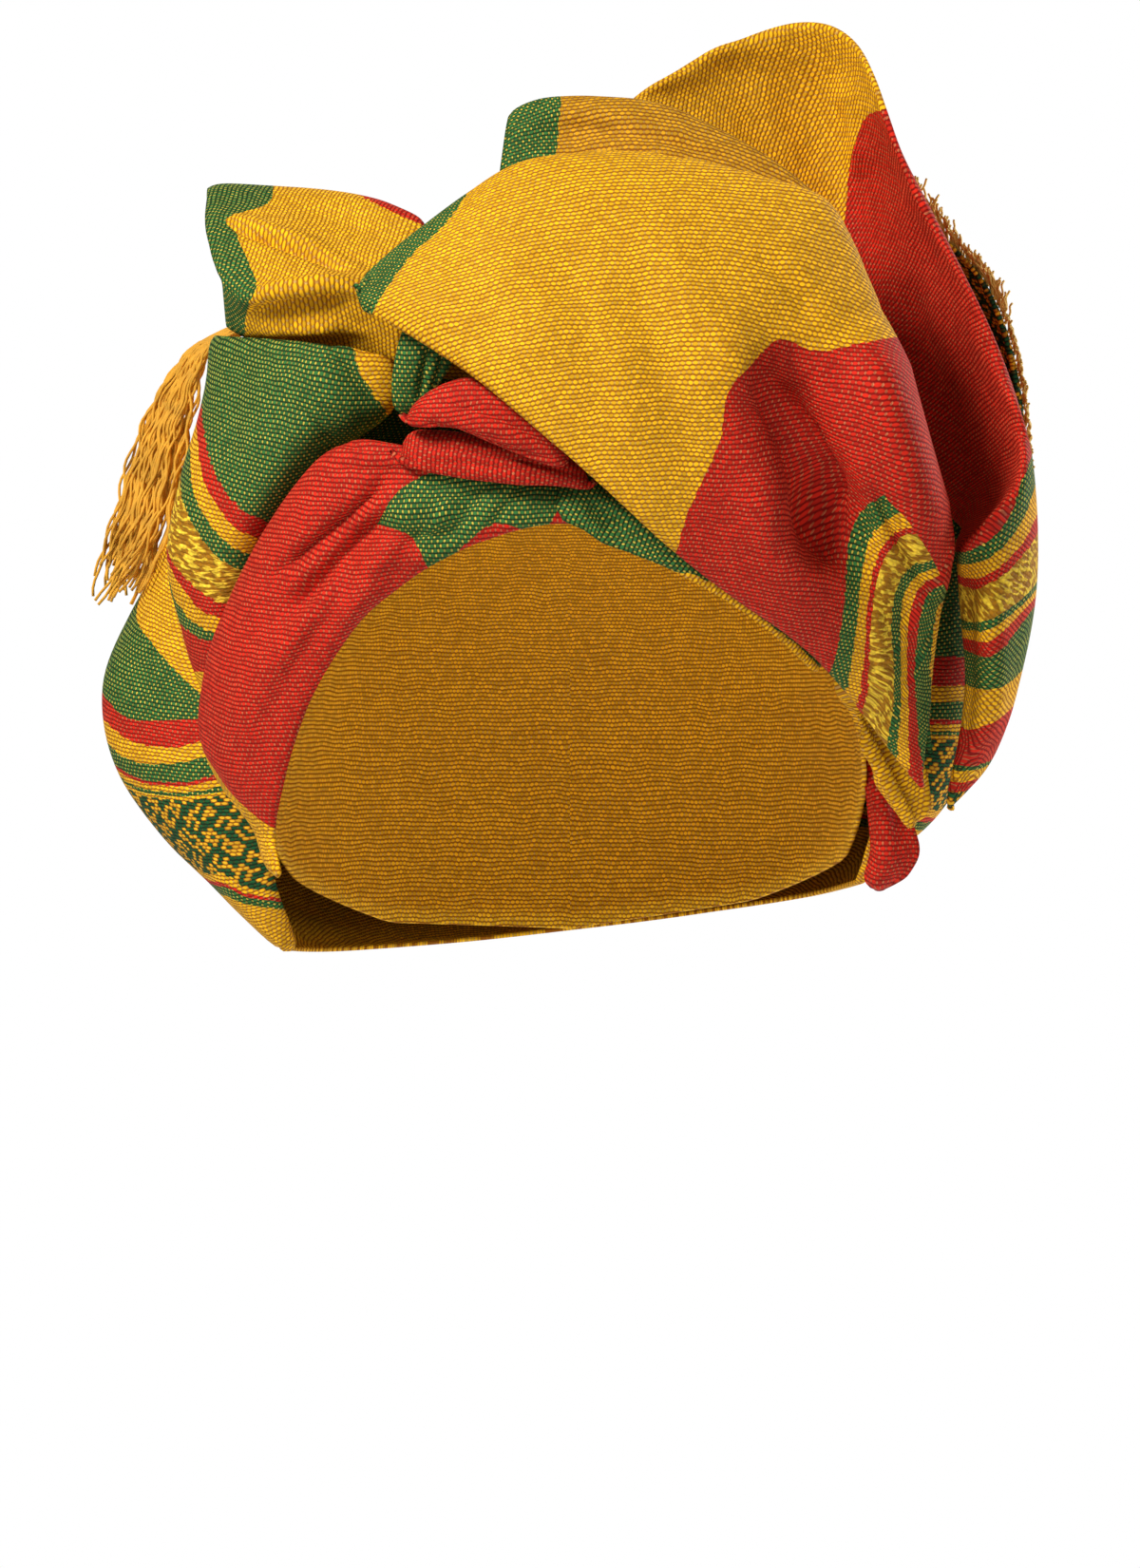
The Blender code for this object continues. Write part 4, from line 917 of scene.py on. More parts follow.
def loop_section(row):
    """One section of a folded loop, from its front lower edge over its crest and down behind."""
    low, top = np.array(points_of(row, "low top"))
    up = (top - low) / np.linalg.norm(top - low)
    out = np.cross(up, np.cross((0.0, -1.0, 0.0), up))
    out /= np.linalg.norm(out)
    high = top - 0.7 * row.roll * up
    return [
        low,
        low + 0.22 * (top - low) + 0.75 * row.belly * out,
        low + 0.50 * (top - low) + row.belly * out,
        low + 0.76 * (top - low) + (0.7 * row.belly + 0.4 * row.roll) * out,
        high + 0.9 * row.roll * out,
        top,
        high - 1.1 * row.roll * out,
        top - row.drop * 0.55 * up - 1.6 * row.roll * out,
        top - row.drop * up - 1.2 * row.roll * out,
    ]


def loop(name, rows, folds, size, under):
    """A folded loop, with its folds on the front and none where it goes down behind."""
    settle(name, [loop_section(row) for row in rows], size, under, folds=folds, last=0.62)


def rear_fan():
    """The tall rear loop: its hollow, its lip, and the lobe at the right."""
    sections = []
    for r in REAR_FAN:
        floor, lip, side, end = np.array(points_of(r, "floor lip side end"))
        deep = np.array((0.0, r.hollow, 0.0))
        rise = (lip - floor) / np.linalg.norm(lip - floor)
        forward = np.array((0.0, -r.roll, 0.0))
        sections.append(
            [
                floor,
                floor + 0.45 * (lip - floor) + deep,
                floor + 0.82 * (lip - floor) + 0.5 * deep,
                lip - 0.8 * r.roll * rise + 0.5 * forward,
                lip,
                side,
                0.5 * (side + end) + np.array((3.0, -2.0, 3.0)),
                end,
            ]
        )
    settle("rear_fan", sections, (24, 16), ["back_wrap", "front_fan", "middle_fold"], folds=REAR_FAN_FOLDS)


def tail_right():
    """The end of the shawl that stands behind the hollow."""
    sections = []
    for r in TAIL_RIGHT:
        edge, inner = np.array(points_of(r, "edge in"))
        out = np.array((1.0, 0.2, 0.5)) * r.bulge
        sections.append([edge, 0.5 * (edge + inner) + out, inner])
    settle("tail_right", sections, (10, 4), ["back_wrap", "rear_fan"], HEAD_CENTRE)


# Colours of the yarns as linear red, green, blue, and how strongly the pale cross yarns show between
Yarn = namedtuple("Yarn", "colour dots shows")
PALE = (0.95, 0.66, 0.20)
PINK = (0.95, 0.38, 0.15)
LIME = (0.82, 0.58, 0.07)
YARNS = {
    "yellow": Yarn((0.90, 0.47, 0.006), PALE, 0.40),
    "ochre": Yarn((0.66, 0.32, 0.008), PALE, 0.35),
    "red": Yarn((0.60, 0.018, 0.006), PINK, 0.42),
    "green": Yarn((0.032, 0.138, 0.030), LIME, 0.95),
    "gold": Yarn((0.72, 0.36, 0.010), PALE, 0.10),
    "figured": Yarn((0.012, 0.085, 0.024), LIME, 0.10),
}
# Painted shade in the gaps between floats: each yarn's colour darkened and browned by this tint
GAP_SHADE_TINT = (0.40, 0.25, 0.25)
FIGURE_YARN = (0.80, 0.42, 0.015)
# The right fringe's yarn is painted lighter than the left's: painted backlight, standing in for the light
# behind and through its thin yarns
FRINGE_YARNS = {"fringe_left": (0.84, 0.40, 0.022), "fringe_right": (1.0, 0.62, 0.12)}
GOLD_DARK = (0.38, 0.16, 0.005, 1)
GOLD_BRIGHT = (0.95, 0.64, 0.04, 1)

# The weave, in millimetres: a yarn's float, how far the yarns wander, how far a band's edge steps from
# float to float, and the figure's diamonds, with the share of a diamond from which its line shows
YARN_WIDE = 1.45
YARN_HIGH = 1.15
WANDER = 2.2
EDGE_STEPS = 0.45
FIGURE_WIDE = 9.0
FIGURE_HIGH = 8.0
FIGURE_LINE = 0.135


def laid_flat(name, grid):
    """The grid's points on the flat cloth, with its edges and diagonals near their own lengths."""
    rows, columns = grid.shape[:2]
    index = np.arange(rows * columns).reshape(rows, columns)
    pairs = [(index[:-1], index[1:]), (index[:, :-1], index[:, 1:])]
    pairs += [(index[:-1, :-1], index[1:, 1:]), (index[1:, :-1], index[:-1, 1:])]
    a = np.concatenate([p[0].ravel() for p in pairs])
    b = np.concatenate([p[1].ravel() for p in pairs])
    real = grid.reshape(-1, 3)
    length = np.linalg.norm(real[a] - real[b], axis=1)
    ties = np.bincount(a, minlength=len(real)) + np.bincount(b, minlength=len(real))
    best, least = None, np.inf
    # The bag's sections run right round the wrap, so only the straight start fits it
    starts = [straight_run(grid)]
    if name != "back_wrap":
        starts.append(fanned_run(grid))
    for start in starts:
        flat = start.reshape(-1, 2)
        for _ in range(FLATTENING):
            run = flat[b] - flat[a]
            pull = run * (0.5 - 0.5 * length / np.maximum(np.linalg.norm(run, axis=1), 1e-6))[:, None]
            shift = np.stack([np.bincount(a, pull[:, k], len(flat)) - np.bincount(b, pull[:, k], len(flat))
                              for k in (0, 1)], axis=1)
            flat = flat + FLATTENING_STEP * shift / ties[:, None]
        strain = np.abs(np.linalg.norm(flat[b] - flat[a], axis=1) / length - 1).mean()
        if strain < least:
            best, least = flat, strain
    return best.reshape(rows, columns, 2)


def straight_run(grid):
    """A first guess of the flat cloth: a plain grid with the mean lengths of its rows and columns."""
    down = run_lengths(grid, 0).mean(axis=1)
    right = run_lengths(grid, 1).mean(axis=0)
    return np.stack(np.meshgrid(right, down), axis=2)


def fanned_run(grid):
    """A first guess of the flat cloth: each section run out straight from its first edge."""
    plane = front_plane(grid)
    from_edge = plane - plane[:, :1]
    far = np.linalg.norm(from_edge, axis=2).argmax(axis=1)
    ahead = from_edge[np.arange(len(grid)), far]
    ahead /= np.linalg.norm(ahead, axis=1, keepdims=True)
    return plane[:, :1] + ahead[:, None] * run_lengths(grid, 1)[:, :, None]


def finer(name, grid):
    """A settled grid with finer points and folds, and each point's place on the flat cloth."""
    if name in SOFT_ROWS:
        low, high = SOFT_ROWS[name]
        grid = grid.copy()
        for _ in range(3):
            grid[low:high] = (grid[low - 1:high - 1] + 2 * grid[low:high] + grid[low + 1:high + 1]) / 4
    grid = np.concatenate((grid, laid_flat(name, grid)), axis=2)
    for _ in range(2):
        run = np.linalg.norm(np.diff(grid[:, :, :3], axis=0), axis=2).mean()
        times = max(1, math.ceil(run / FINE_STEPS.get(name, FINE_STEP)))
        places = np.linspace(0, len(grid) - 1, (len(grid) - 1) * times + 1)
        grid = np.swapaxes(curve_at(grid, places), 0, 1)
    if name not in ROUND_ENDS:
        grid = rounded(grid, CORNERS.get(name, CORNER))
    grid, flat = grid[:, :, :3], grid[:, :, 3:]
    if name in FINE_FOLDS:
        grid = folded(grid, front_plane(grid), FINE_FOLDS[name], CENTRES[name])
    if name in ROUND_ENDS:
        along = run_lengths(grid, 0).mean(axis=1)
        far = np.minimum(np.minimum(along, along[-1] - along) / ROUND_ENDS[name], 1)
        width = np.maximum(np.sqrt(1 - (1 - far) ** 2), NARROWEST_END)[:, None, None]
        middle = grid.mean(axis=1, keepdims=True)
        grid = middle + (grid - middle) * width + np.array((0.0, END_SINK, 0.0)) * (1 - width)
    return turned_in(grid, CENTRES[name]), flat


def rounded(grid, corner):
    """A grid with its square corners drawn in to round ones, as a quarter square maps to a quarter disc."""
    rows, columns = grid.shape[:2]
    row, column = np.indices((rows, columns)).astype(float)
    reach = [min(corner / np.linalg.norm(np.diff(grid[:, :, :3], axis=axis), axis=2).mean(), (count - 1) / 2)
             for axis, count in ((0, rows), (1, columns))]
    u = np.maximum(1 - np.minimum(row, rows - 1 - row) / reach[0], 0)
    v = np.maximum(1 - np.minimum(column, columns - 1 - column) / reach[1], 0)
    in_row = reach[0] * u * (1 - np.sqrt(1 - v * v / 2))
    in_column = reach[1] * v * (1 - np.sqrt(1 - u * u / 2))
    row += np.where(row < rows / 2, in_row, -in_row)
    column += np.where(column < columns / 2, in_column, -in_column)
    low_row = np.minimum(row.astype(int), rows - 2)
    low_column = np.minimum(column.astype(int), columns - 2)
    a, b = (row - low_row)[:, :, None], (column - low_column)[:, :, None]
    upper = grid[low_row, low_column] * (1 - b) + grid[low_row, low_column + 1] * b
    lower = grid[low_row + 1, low_column] * (1 - b) + grid[low_row + 1, low_column + 1] * b
    return upper * (1 - a) + lower * a


def turned_in(grid, centre):
    """A grid with its edges turned in a little, as a hem or a fold has no sharp edge."""
    steps = [np.linalg.norm(np.diff(grid, axis=axis), axis=2).mean() for axis in (0, 1)]
    row, column = np.indices(grid.shape[:2])
    far = np.minimum(np.minimum(row, len(grid) - 1 - row) * steps[0],
                     np.minimum(column, grid.shape[1] - 1 - column) * steps[1])
    return grid - (EDGE_TURN * np.exp(-far / EDGE_TURN))[:, :, None] * outward(grid, centre)


def run_lengths(grid, axis):
    """How far along the cloth each point of a grid is, in millimetres."""
    steps = np.linalg.norm(np.diff(grid, axis=axis), axis=2)
    start = np.zeros_like(np.take(steps, (0,), axis=axis))
    return np.cumsum(np.concatenate((start, steps), axis=axis), axis=axis)


def past_line(points, line):
    """How far points of the front view are past a curve, in millimetres, its ends running on straight."""
    line = curve_at(line, np.linspace(0, len(line) - 1, 5 * len(line) - 4))
    runs = np.diff(line, axis=0)
    away = points[:, None] - line[:-1]
    t = (away * runs).sum(-1) / (runs**2).sum(-1)
    low = np.zeros(len(runs))
    high = np.ones(len(runs))
    low[0], high[-1] = -np.inf, np.inf
    gaps = away - np.clip(t, low, high)[:, :, None] * runs
    distance = np.linalg.norm(gaps, axis=-1)
    side = runs[:, 0] * gaps[:, :, 1] - runs[:, 1] * gaps[:, :, 0]
    square_on = np.abs(side) / (np.linalg.norm(runs, axis=1) * np.maximum(distance, 1e-6))
    nearest = (distance - 0.01 * square_on).argmin(axis=1)
    rows = np.arange(len(points))
    return np.sign(side[rows, nearest]) * distance[rows, nearest] / PIXELS_PER_MM


def scale_of(name, plane):
    """The number on a piece's colour scale at each point of its front view plane."""
    lines = LINES.get(name)
    if lines is None:
        return np.zeros(plane.shape[:2])
    points = plane.reshape(-1, 2)
    sides = [past_line(points, line.points) for line in lines]
    value = lines[0].at + sides[0]
    for near, far, side, after in zip(lines, lines[1:], sides, sides[1:]):
        between = near.at + (far.at - near.at) * side / np.maximum(side - after, 1e-6)
        value = np.where(side > 0, np.where(after < 0, between, far.at + after), value)
    return value.reshape(plane.shape[:2])


def colour_plane(name, grid):
    """A grid's places in pixels of the front view, with the back run on past the left outline."""
    plane = front_plane(grid)
    x = MIDDLE_COLUMN + PIXELS_PER_MM * plane[:, :, 0]
    y = CROWN_ROW - PIXELS_PER_MM * plane[:, :, 1]
    if name == "back_wrap":
        run = PIXELS_PER_MM * np.diff(run_lengths(grid, 1), axis=1)
        step = np.diff(x, axis=1)
        turned = np.clip((step / run + 0.5) / 0.8, 0, 1)
        x[:, 1:] = x[:, :1] + np.cumsum(step * (1 - turned) - run * turned, axis=1)
    return np.stack((x, y), axis=2)


class Nodes:
    """A shader's node tree with short calls for what the cloth needs."""

    def __init__(self, tree):
        self.tree = tree

    def set(self, made, values):
        for key, value in values.items():
            if hasattr(value, "is_linked"):
                self.tree.links.new(value, made.inputs[key])
            else:
                made.inputs[key].default_value = value
        return made

    def add(self, kind, values=None, **settings):
        made = self.tree.nodes.new(kind)
        for key, value in settings.items():
            setattr(made, key, value)
        return self.set(made, values or {})

    def sum(self, operation, *values):
        return self.add("ShaderNodeMath", dict(enumerate(values)), operation=operation).outputs[0]

    def smooth(self, value, low, high):
        values = {"Value": value, "From Min": low, "From Max": high}
        return self.add("ShaderNodeMapRange", values, interpolation_type="SMOOTHSTEP").outputs[0]

    def mix(self, factor, a, b):
        made = self.add("ShaderNodeMix", data_type="RGBA")
        return self.set(made, {0: factor, 6: a, 7: b}).outputs[2]

    def scaled(self, colour, factor):
        made = self.add("ShaderNodeVectorMath", {0: colour, "Scale": factor}, operation="SCALE")
        return made.outputs[0]

    def vector(self, operation, a, b):
        return self.add("ShaderNodeVectorMath", {0: a, 1: b}, operation=operation).outputs[0]

    def spread(self, value, low, high):
        values = {"Value": value, "To Min": low, "To Max": high}
        return self.add("ShaderNodeMapRange", values).outputs[0]

    def noise(self, places, scale, detail):
        return self.add("ShaderNodeTexNoise", {"Vector": places, "Scale": scale, "Detail": detail})

    def jitter(self, value, width):
        """A random value from 0 to 1 as one about 0, of a given width."""
        return self.sum("MULTIPLY", self.sum("SUBTRACT", value, 0.5), width)


def new_material(name):
    """A material, its node tree in short calls, and its shader."""
    made = bpy.data.materials.new(name)
    made.use_nodes = True
    return made, Nodes(made.node_tree), made.node_tree.nodes["Principled BSDF"]


def ramp(nodes, value, low, high, stops):
    """A stepped colour ramp over a piece's colour scale."""
    share = nodes.add("ShaderNodeMapRange", {"Value": value, "From Min": low, "From Max": high}).outputs[0]
    made = nodes.add("ShaderNodeValToRGB", {"Fac": share})
    scale = made.color_ramp
    scale.interpolation = "CONSTANT"
    while len(scale.elements) > 1:
        scale.elements.remove(scale.elements[-1])
    for i, (start, colour) in enumerate(stops):
        position = min(max((start - low) / (high - low), 0), 1)
        stop = scale.elements[0] if i == 0 else scale.elements.new(position)
        stop.position = position
        stop.color = colour
    return made


def cloth_material(name):
    """The shawl's weave: bright floats with painted shade in the gaps between them, pale cross yarns, and
    bands by the colour scale.
    """
    made, nodes, shader = new_material(name + "_cloth")

    # Each float's column and row on the flat cloth, and three random values for it
    places = nodes.add("ShaderNodeUVMap", uv_map="Weave").outputs[0]
    wander = nodes.noise(places, 0.09, 2.0).outputs["Color"]
    off = nodes.scaled(nodes.vector("SUBTRACT", wander, (0.5, 0.5, 0.5)), WANDER)
    bent = nodes.vector("ADD", places, off)
    split = nodes.add("ShaderNodeSeparateXYZ", {0: bent})
    high = nodes.sum("DIVIDE", split.outputs[1], YARN_HIGH)
    row = nodes.sum("FLOOR", high)
    shift = nodes.sum("MULTIPLY", nodes.sum("PINGPONG", row, 1.0), 0.5)
    wide = nodes.sum("ADD", nodes.sum("DIVIDE", split.outputs[0], YARN_WIDE), shift)
    column = nodes.sum("FLOOR", wide)
    across = nodes.sum("SUBTRACT", nodes.sum("FRACT", wide), 0.5)
    up = nodes.sum("SUBTRACT", nodes.sum("FRACT", high), 0.5)
    cell = nodes.add("ShaderNodeCombineXYZ", {0: column, 1: row})
    dice = nodes.add("ShaderNodeTexWhiteNoise", {"Vector": cell.outputs[0]}, noise_dimensions="2D")
    dice = nodes.add("ShaderNodeSeparateColor", {0: dice.outputs["Color"]})

    def oval(x, y, half_x, half_y):
        x = nodes.sum("POWER", nodes.sum("DIVIDE", x, half_x), 2.0)
        y = nodes.sum("POWER", nodes.sum("DIVIDE", y, half_y), 2.0)
        return nodes.sum("ADD", x, y)

    # Where the floats show, and the pale cross yarns between them
    float_share = nodes.smooth(oval(across, up, 0.50, 0.46), 1.05, 0.30)
    aside = nodes.sum("SUBTRACT", nodes.sum("ABSOLUTE", across), 0.5)
    dot_share = nodes.smooth(oval(aside, up, 0.18, 0.38), 1.1, 0.3)

    # The bands of colour
    numbers = nodes.add("ShaderNodeUVMap", uv_map="Bands").outputs[0]
    scale, side = nodes.add("ShaderNodeSeparateXYZ", {0: numbers}).outputs[:2]
    scale = nodes.sum("ADD", scale, nodes.jitter(dice.outputs[0], EDGE_STEPS))
    steps = BANDS[name]
    low = steps[1].start - 10 if len(steps) > 1 else -10
    top = steps[-1].start + 10 if len(steps) > 1 else 10
    if name in CUTS:
        layer = nodes.sum("GREATER_THAN", side, 0.0)
        over = nodes.sum("MULTIPLY", layer, nodes.sum("SUBTRACT", float(CUTS[name].at), scale))
        scale = nodes.sum("ADD", scale, over)
    yarns = [(b.start, YARNS[b.colour]) for b in steps]
    main = ramp(nodes, scale, low, top, [(start, (*y.colour, 1)) for start, y in yarns]).outputs["Color"]
    cross = ramp(nodes, scale, low, top, [(start, (*y.dots, y.shows)) for start, y in yarns])
    kinds = {"gold": (1, 0, 0, 1), "figured": (0, 1, 0, 1)}
    kind = ramp(nodes, scale, low, top, [(b.start, kinds.get(b.colour, (0, 0, 0, 1))) for b in steps])
    kind = nodes.add("ShaderNodeSeparateColor", {0: kind.outputs["Color"]})

    # The glittering gold band
    patches = nodes.noise(nodes.vector("MULTIPLY", bent, (0.30, 0.85, 1.0)), 1.0, 1.0)
    shine = nodes.smooth(patches.outputs[0], 0.46, 0.60)
    gold = nodes.mix(shine, GOLD_DARK, GOLD_BRIGHT)
    main = nodes.mix(kind.outputs[0], main, gold)

    # The figured band's small diamonds, in steps of a float
    stepped_x = nodes.sum("MULTIPLY", column, YARN_WIDE / FIGURE_WIDE)
    stepped_y = nodes.sum("MULTIPLY", row, YARN_HIGH / FIGURE_HIGH)
    far_x = nodes.sum("PINGPONG", stepped_x, 0.5)
    far_y = nodes.sum("PINGPONG", stepped_y, 0.5)
    rings = nodes.sum("PINGPONG", nodes.sum("ADD", far_x, far_y), 0.25)
    rings = nodes.sum("ADD", rings, nodes.jitter(dice.outputs[1], 0.07))
    figure = nodes.sum("GREATER_THAN", rings, FIGURE_LINE)
    main = nodes.mix(nodes.sum("MULTIPLY", figure, kind.outputs[1]), main, (*FIGURE_YARN, 1))

    # Wide soft tones, each float's own brightness, painted shade in the gaps between floats, and the cross
    # yarns' dots
    tone = nodes.spread(nodes.noise(places, 0.045, 3.0).outputs[0], 0.86, 1.12)
    speck = nodes.spread(dice.outputs[2], 0.78, 1.30)
    bright = nodes.sum("MULTIPLY", tone, speck)
    # Painted shade: the gaps between floats take a darkened copy of the yarn's colour
    gap_shade = nodes.vector("MULTIPLY", main, GAP_SHADE_TINT)
    floats = nodes.scaled(main, bright)
    least = nodes.sum("MULTIPLY", kind.outputs[0], 0.7)
    colour = nodes.mix(nodes.sum("MAXIMUM", float_share, least), gap_shade, floats)
    dots = nodes.sum("MULTIPLY", dot_share, cross.outputs["Alpha"])
    dots = nodes.sum("MULTIPLY", dots, nodes.sum("ADD", nodes.sum("MULTIPLY", dice.outputs[1], 0.9), 0.25))
    colour = nodes.mix(dots, colour, cross.outputs["Color"])

    height = nodes.sum("ADD", float_share, nodes.sum("MULTIPLY", dot_share, 0.5))
    glitter = nodes.sum("MULTIPLY", shine, kind.outputs[0])
    height = nodes.sum("ADD", height, nodes.sum("MULTIPLY", glitter, 1.5))
    bump = nodes.add("ShaderNodeBump", {"Height": height, "Strength": 0.5, "Distance": 0.0004}).outputs[0]
    nodes.set(shader, {"Base Color": colour, "Normal": bump, "Roughness": 0.75, "Specular IOR Level": 0.15})
    return made


def cloth_piece(name, grid, flat, held, rests_on):
    """A piece of the shawl, from a fine grid of its middle surface, joined where it closes on itself."""
    mesh = bpy.data.meshes.new(name + "_cloth")
    faces = corners_of(*grid.shape[:2])
    mesh.from_pydata((grid.reshape(-1, 3) * MM).tolist(), [], faces.tolist())
    corners = np.array([v for f in mesh.polygons for v in f.vertices])
    plane = colour_plane(name, grid)
    scale = scale_of(name, plane).reshape(-1)
    side = past_line(plane.reshape(-1, 2), CUTS[name].points) if name in CUTS else 0 * scale
    for label, values in (("Weave", flat.reshape(-1, 2)), ("Bands", np.stack((scale, side), axis=1))):
        layer = mesh.uv_layers.new(name=label)
        layer.data.foreach_set("uv", values[corners].astype(np.float32).ravel())
    if np.allclose(grid[0], grid[-1]):
        joined = bmesh.new()
        joined.from_mesh(mesh)
        bmesh.ops.remove_doubles(joined, verts=joined.verts, dist=0.00001)
        joined.to_mesh(mesh)
        joined.free()
    mesh.shade_smooth()
    made = bpy.data.objects.new(name + "_cloth", mesh)
    bpy.context.scene.collection.objects.link(made)
    mesh.materials.append(cloth_material(name))
    solid = made.modifiers.new("Cloth", "SOLIDIFY")
    solid.thickness = FINE_CLOTH * MM
    solid.offset = 0.0
    solid.use_quality_normals = True
    declare(made, name, grid)


def declare(made, name, grid):
    """Hangs a cloth piece on the root and hides the part it stands for; the cloth's area is worked out but
    not used.
    """
    quads = np.cross(grid[1:, :-1] - grid[:-1, :-1], grid[:-1, 1:] - grid[:-1, :-1])
    area = np.linalg.norm(quads, axis=2).sum() * MM**2
    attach(made, "root")
    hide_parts(name)


def close_layer():
    """The close layer as a fine grid from the front round to the front again."""
    half = HEAD_HALF + CROWN_OFF_HEAD
    turns = np.linspace(-180, 180, CROWN_ROWS)
    edge = np.interp(turns, [r.turn for r in BRIM], [r.height for r in BRIM]) + EDGE_ABOVE_BRIM
    lowest = np.arccos(np.clip((edge - HEAD_CENTRE[2]) / half[2], -1, 1))
    share = np.linspace(0, 1, CROWN_COLUMNS)[None, :]
    tilt = lowest[:, None] * share
    turn = np.radians(turns)[:, None]
    x = half[0] * np.sin(tilt) * np.sin(turn)
    y = -half[1] * np.sin(tilt) * np.cos(turn)
    z = half[2] * np.cos(tilt) + HEAD_CENTRE[2]
    flat = np.stack((turn * half[:2].mean() + 0 * tilt, tilt * half[1:].mean()), axis=2)
    return np.stack((x, y, z), axis=2), flat


def yarn_material(name):
    """Twisted ochre yarn for a fringe, painted lighter on the ridges of its twist and darker in its grooves
    as painted shade.
    """
    made, nodes, shader = new_material(name)
    places = nodes.add("ShaderNodeUVMap", uv_map="Weave").outputs[0]
    along, around = nodes.add("ShaderNodeSeparateXYZ", {0: places}).outputs[:2]
    # Painted shade of the twist: the colour rises and falls with the same ridges and grooves as the bump
    turn = nodes.sum("ADD", nodes.sum("MULTIPLY", along, 5.0), nodes.sum("MULTIPLY", around, 4.0))
    twist = nodes.sum("PINGPONG", turn, 1.0)
    tone = nodes.noise(places, 0.2, 2.0).outputs[0]
    factor = nodes.sum("ADD", nodes.sum("MULTIPLY", twist, 0.35), nodes.sum("ADD", tone, 0.25))
    # The right fringe's lighter colour is painted backlight
    colour = nodes.scaled(FRINGE_YARNS[name], factor)
    bump = nodes.add("ShaderNodeBump", {"Height": twist, "Strength": 0.4, "Distance": 0.0003})
    nodes.set(shader, {"Base Color": colour, "Normal": bump.outputs[0], "Roughness": 0.7})
    return made


def yarns_piece(name, paths, radius, sides=5):
    """Single yarns along their paths, as one piece."""
    points, faces, uvs = [], [], []
    for path in paths:
        ahead = np.gradient(path, axis=0)
        ahead /= np.linalg.norm(ahead, axis=1, keepdims=True)
        side = np.cross(ahead, (0.0, 1.0, 0.15))
        side /= np.linalg.norm(side, axis=1, keepdims=True)
        up = np.cross(ahead, side)
        run = np.concatenate(((0,), np.cumsum(np.linalg.norm(np.diff(path, axis=0), axis=1))))
        first = len(points)
        for i, centre in enumerate(path):
            for k in range(sides):
                angle = 2 * math.pi * k / sides
                points.append(centre + radius * (side[i] * math.cos(angle) + up[i] * math.sin(angle)))
        rings = len(path)
        for i in range(rings - 1):
            for k in range(sides):
                j = (k + 1) % sides
                a, b = first + i * sides, first + (i + 1) * sides
                faces.append((a + k, b + k, b + j, a + j))
                uvs += [(run[i], k), (run[i + 1], k), (run[i + 1], k + 1), (run[i], k + 1)]
        for ring, order in ((0, 1), (rings - 1, -1)):
            faces.append([first + ring * sides + k for k in range(sides)][::order])
            uvs += [(run[ring], k) for k in range(sides)]
    mesh = bpy.data.meshes.new(name + "_yarns")
    mesh.from_pydata((np.array(points) * MM).tolist(), [], faces)
    layer = mesh.uv_layers.new(name="Weave")
    layer.data.foreach_set("uv", np.array(uvs, np.float32).ravel())
    mesh.shade_smooth()
    mesh.materials.append(yarn_material(name))
    made = bpy.data.objects.new(name + "_yarns", mesh)
    bpy.context.scene.collection.objects.link(made)
    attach(made, "root")
    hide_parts(name)


def fringe_left():
    """Wavy twisted yarns that hang as a curtain, in loose bundles that cross and part."""
    dice = random.Random(5)
    front = place([(r.front_x, r.front_y, r.z) for r in FRINGE_LEFT])
    back = place([(r.back_x, r.back_y, r.z) for r in FRINGE_LEFT])
    bag = [NODES["back_wrap"]]
    paths = []
    for bundle in range(LEFT_BUNDLES):
        share = bundle / (LEFT_BUNDLES - 1)
        reach = dice.uniform(0.84, 1.0)
        lean = dice.uniform(-0.14, 0.14)
        for _ in range(LEFT_YARNS):
            at = np.linspace(0, (len(front) - 1) * min(reach * dice.uniform(0.90, 1.06), 1.0), 40)
            down = at / (len(front) - 1)
            where = share + lean * down + dice.uniform(-0.04, 0.04)
            turn = dice.uniform(0, 6.3)
            guide = curve_at(front, at) + (curve_at(back, at) - curve_at(front, at)) * where[:, None]
            slow = np.stack((np.sin(at * 2.3 + turn), np.cos(at * 2.0 + 1.7 * turn), 0 * at), axis=1)
            crimp = np.stack((np.sin(at * 8.0 + 3 * turn), np.cos(at * 7.0 + turn), 0 * at), axis=1)
            spread = np.array((dice.uniform(-5.5, 1.5), dice.uniform(-3, 3), 0.0))
            guide = guide + slow * (0.4 + 1.6 * down)[:, None] + crimp * 0.55 + spread * down[:, None]
            path = guide[:, None] + pushed_off(guide[:, None], bag, 2.0)
            root = np.array((6.0, 0.0, dice.uniform(-2.8, 1.0)))
            paths.append(path[:, 0] + np.maximum(1 - 2 * at, 0)[:, None] * root)
    yarns_piece("fringe_left", paths, LEFT_RADIUS)


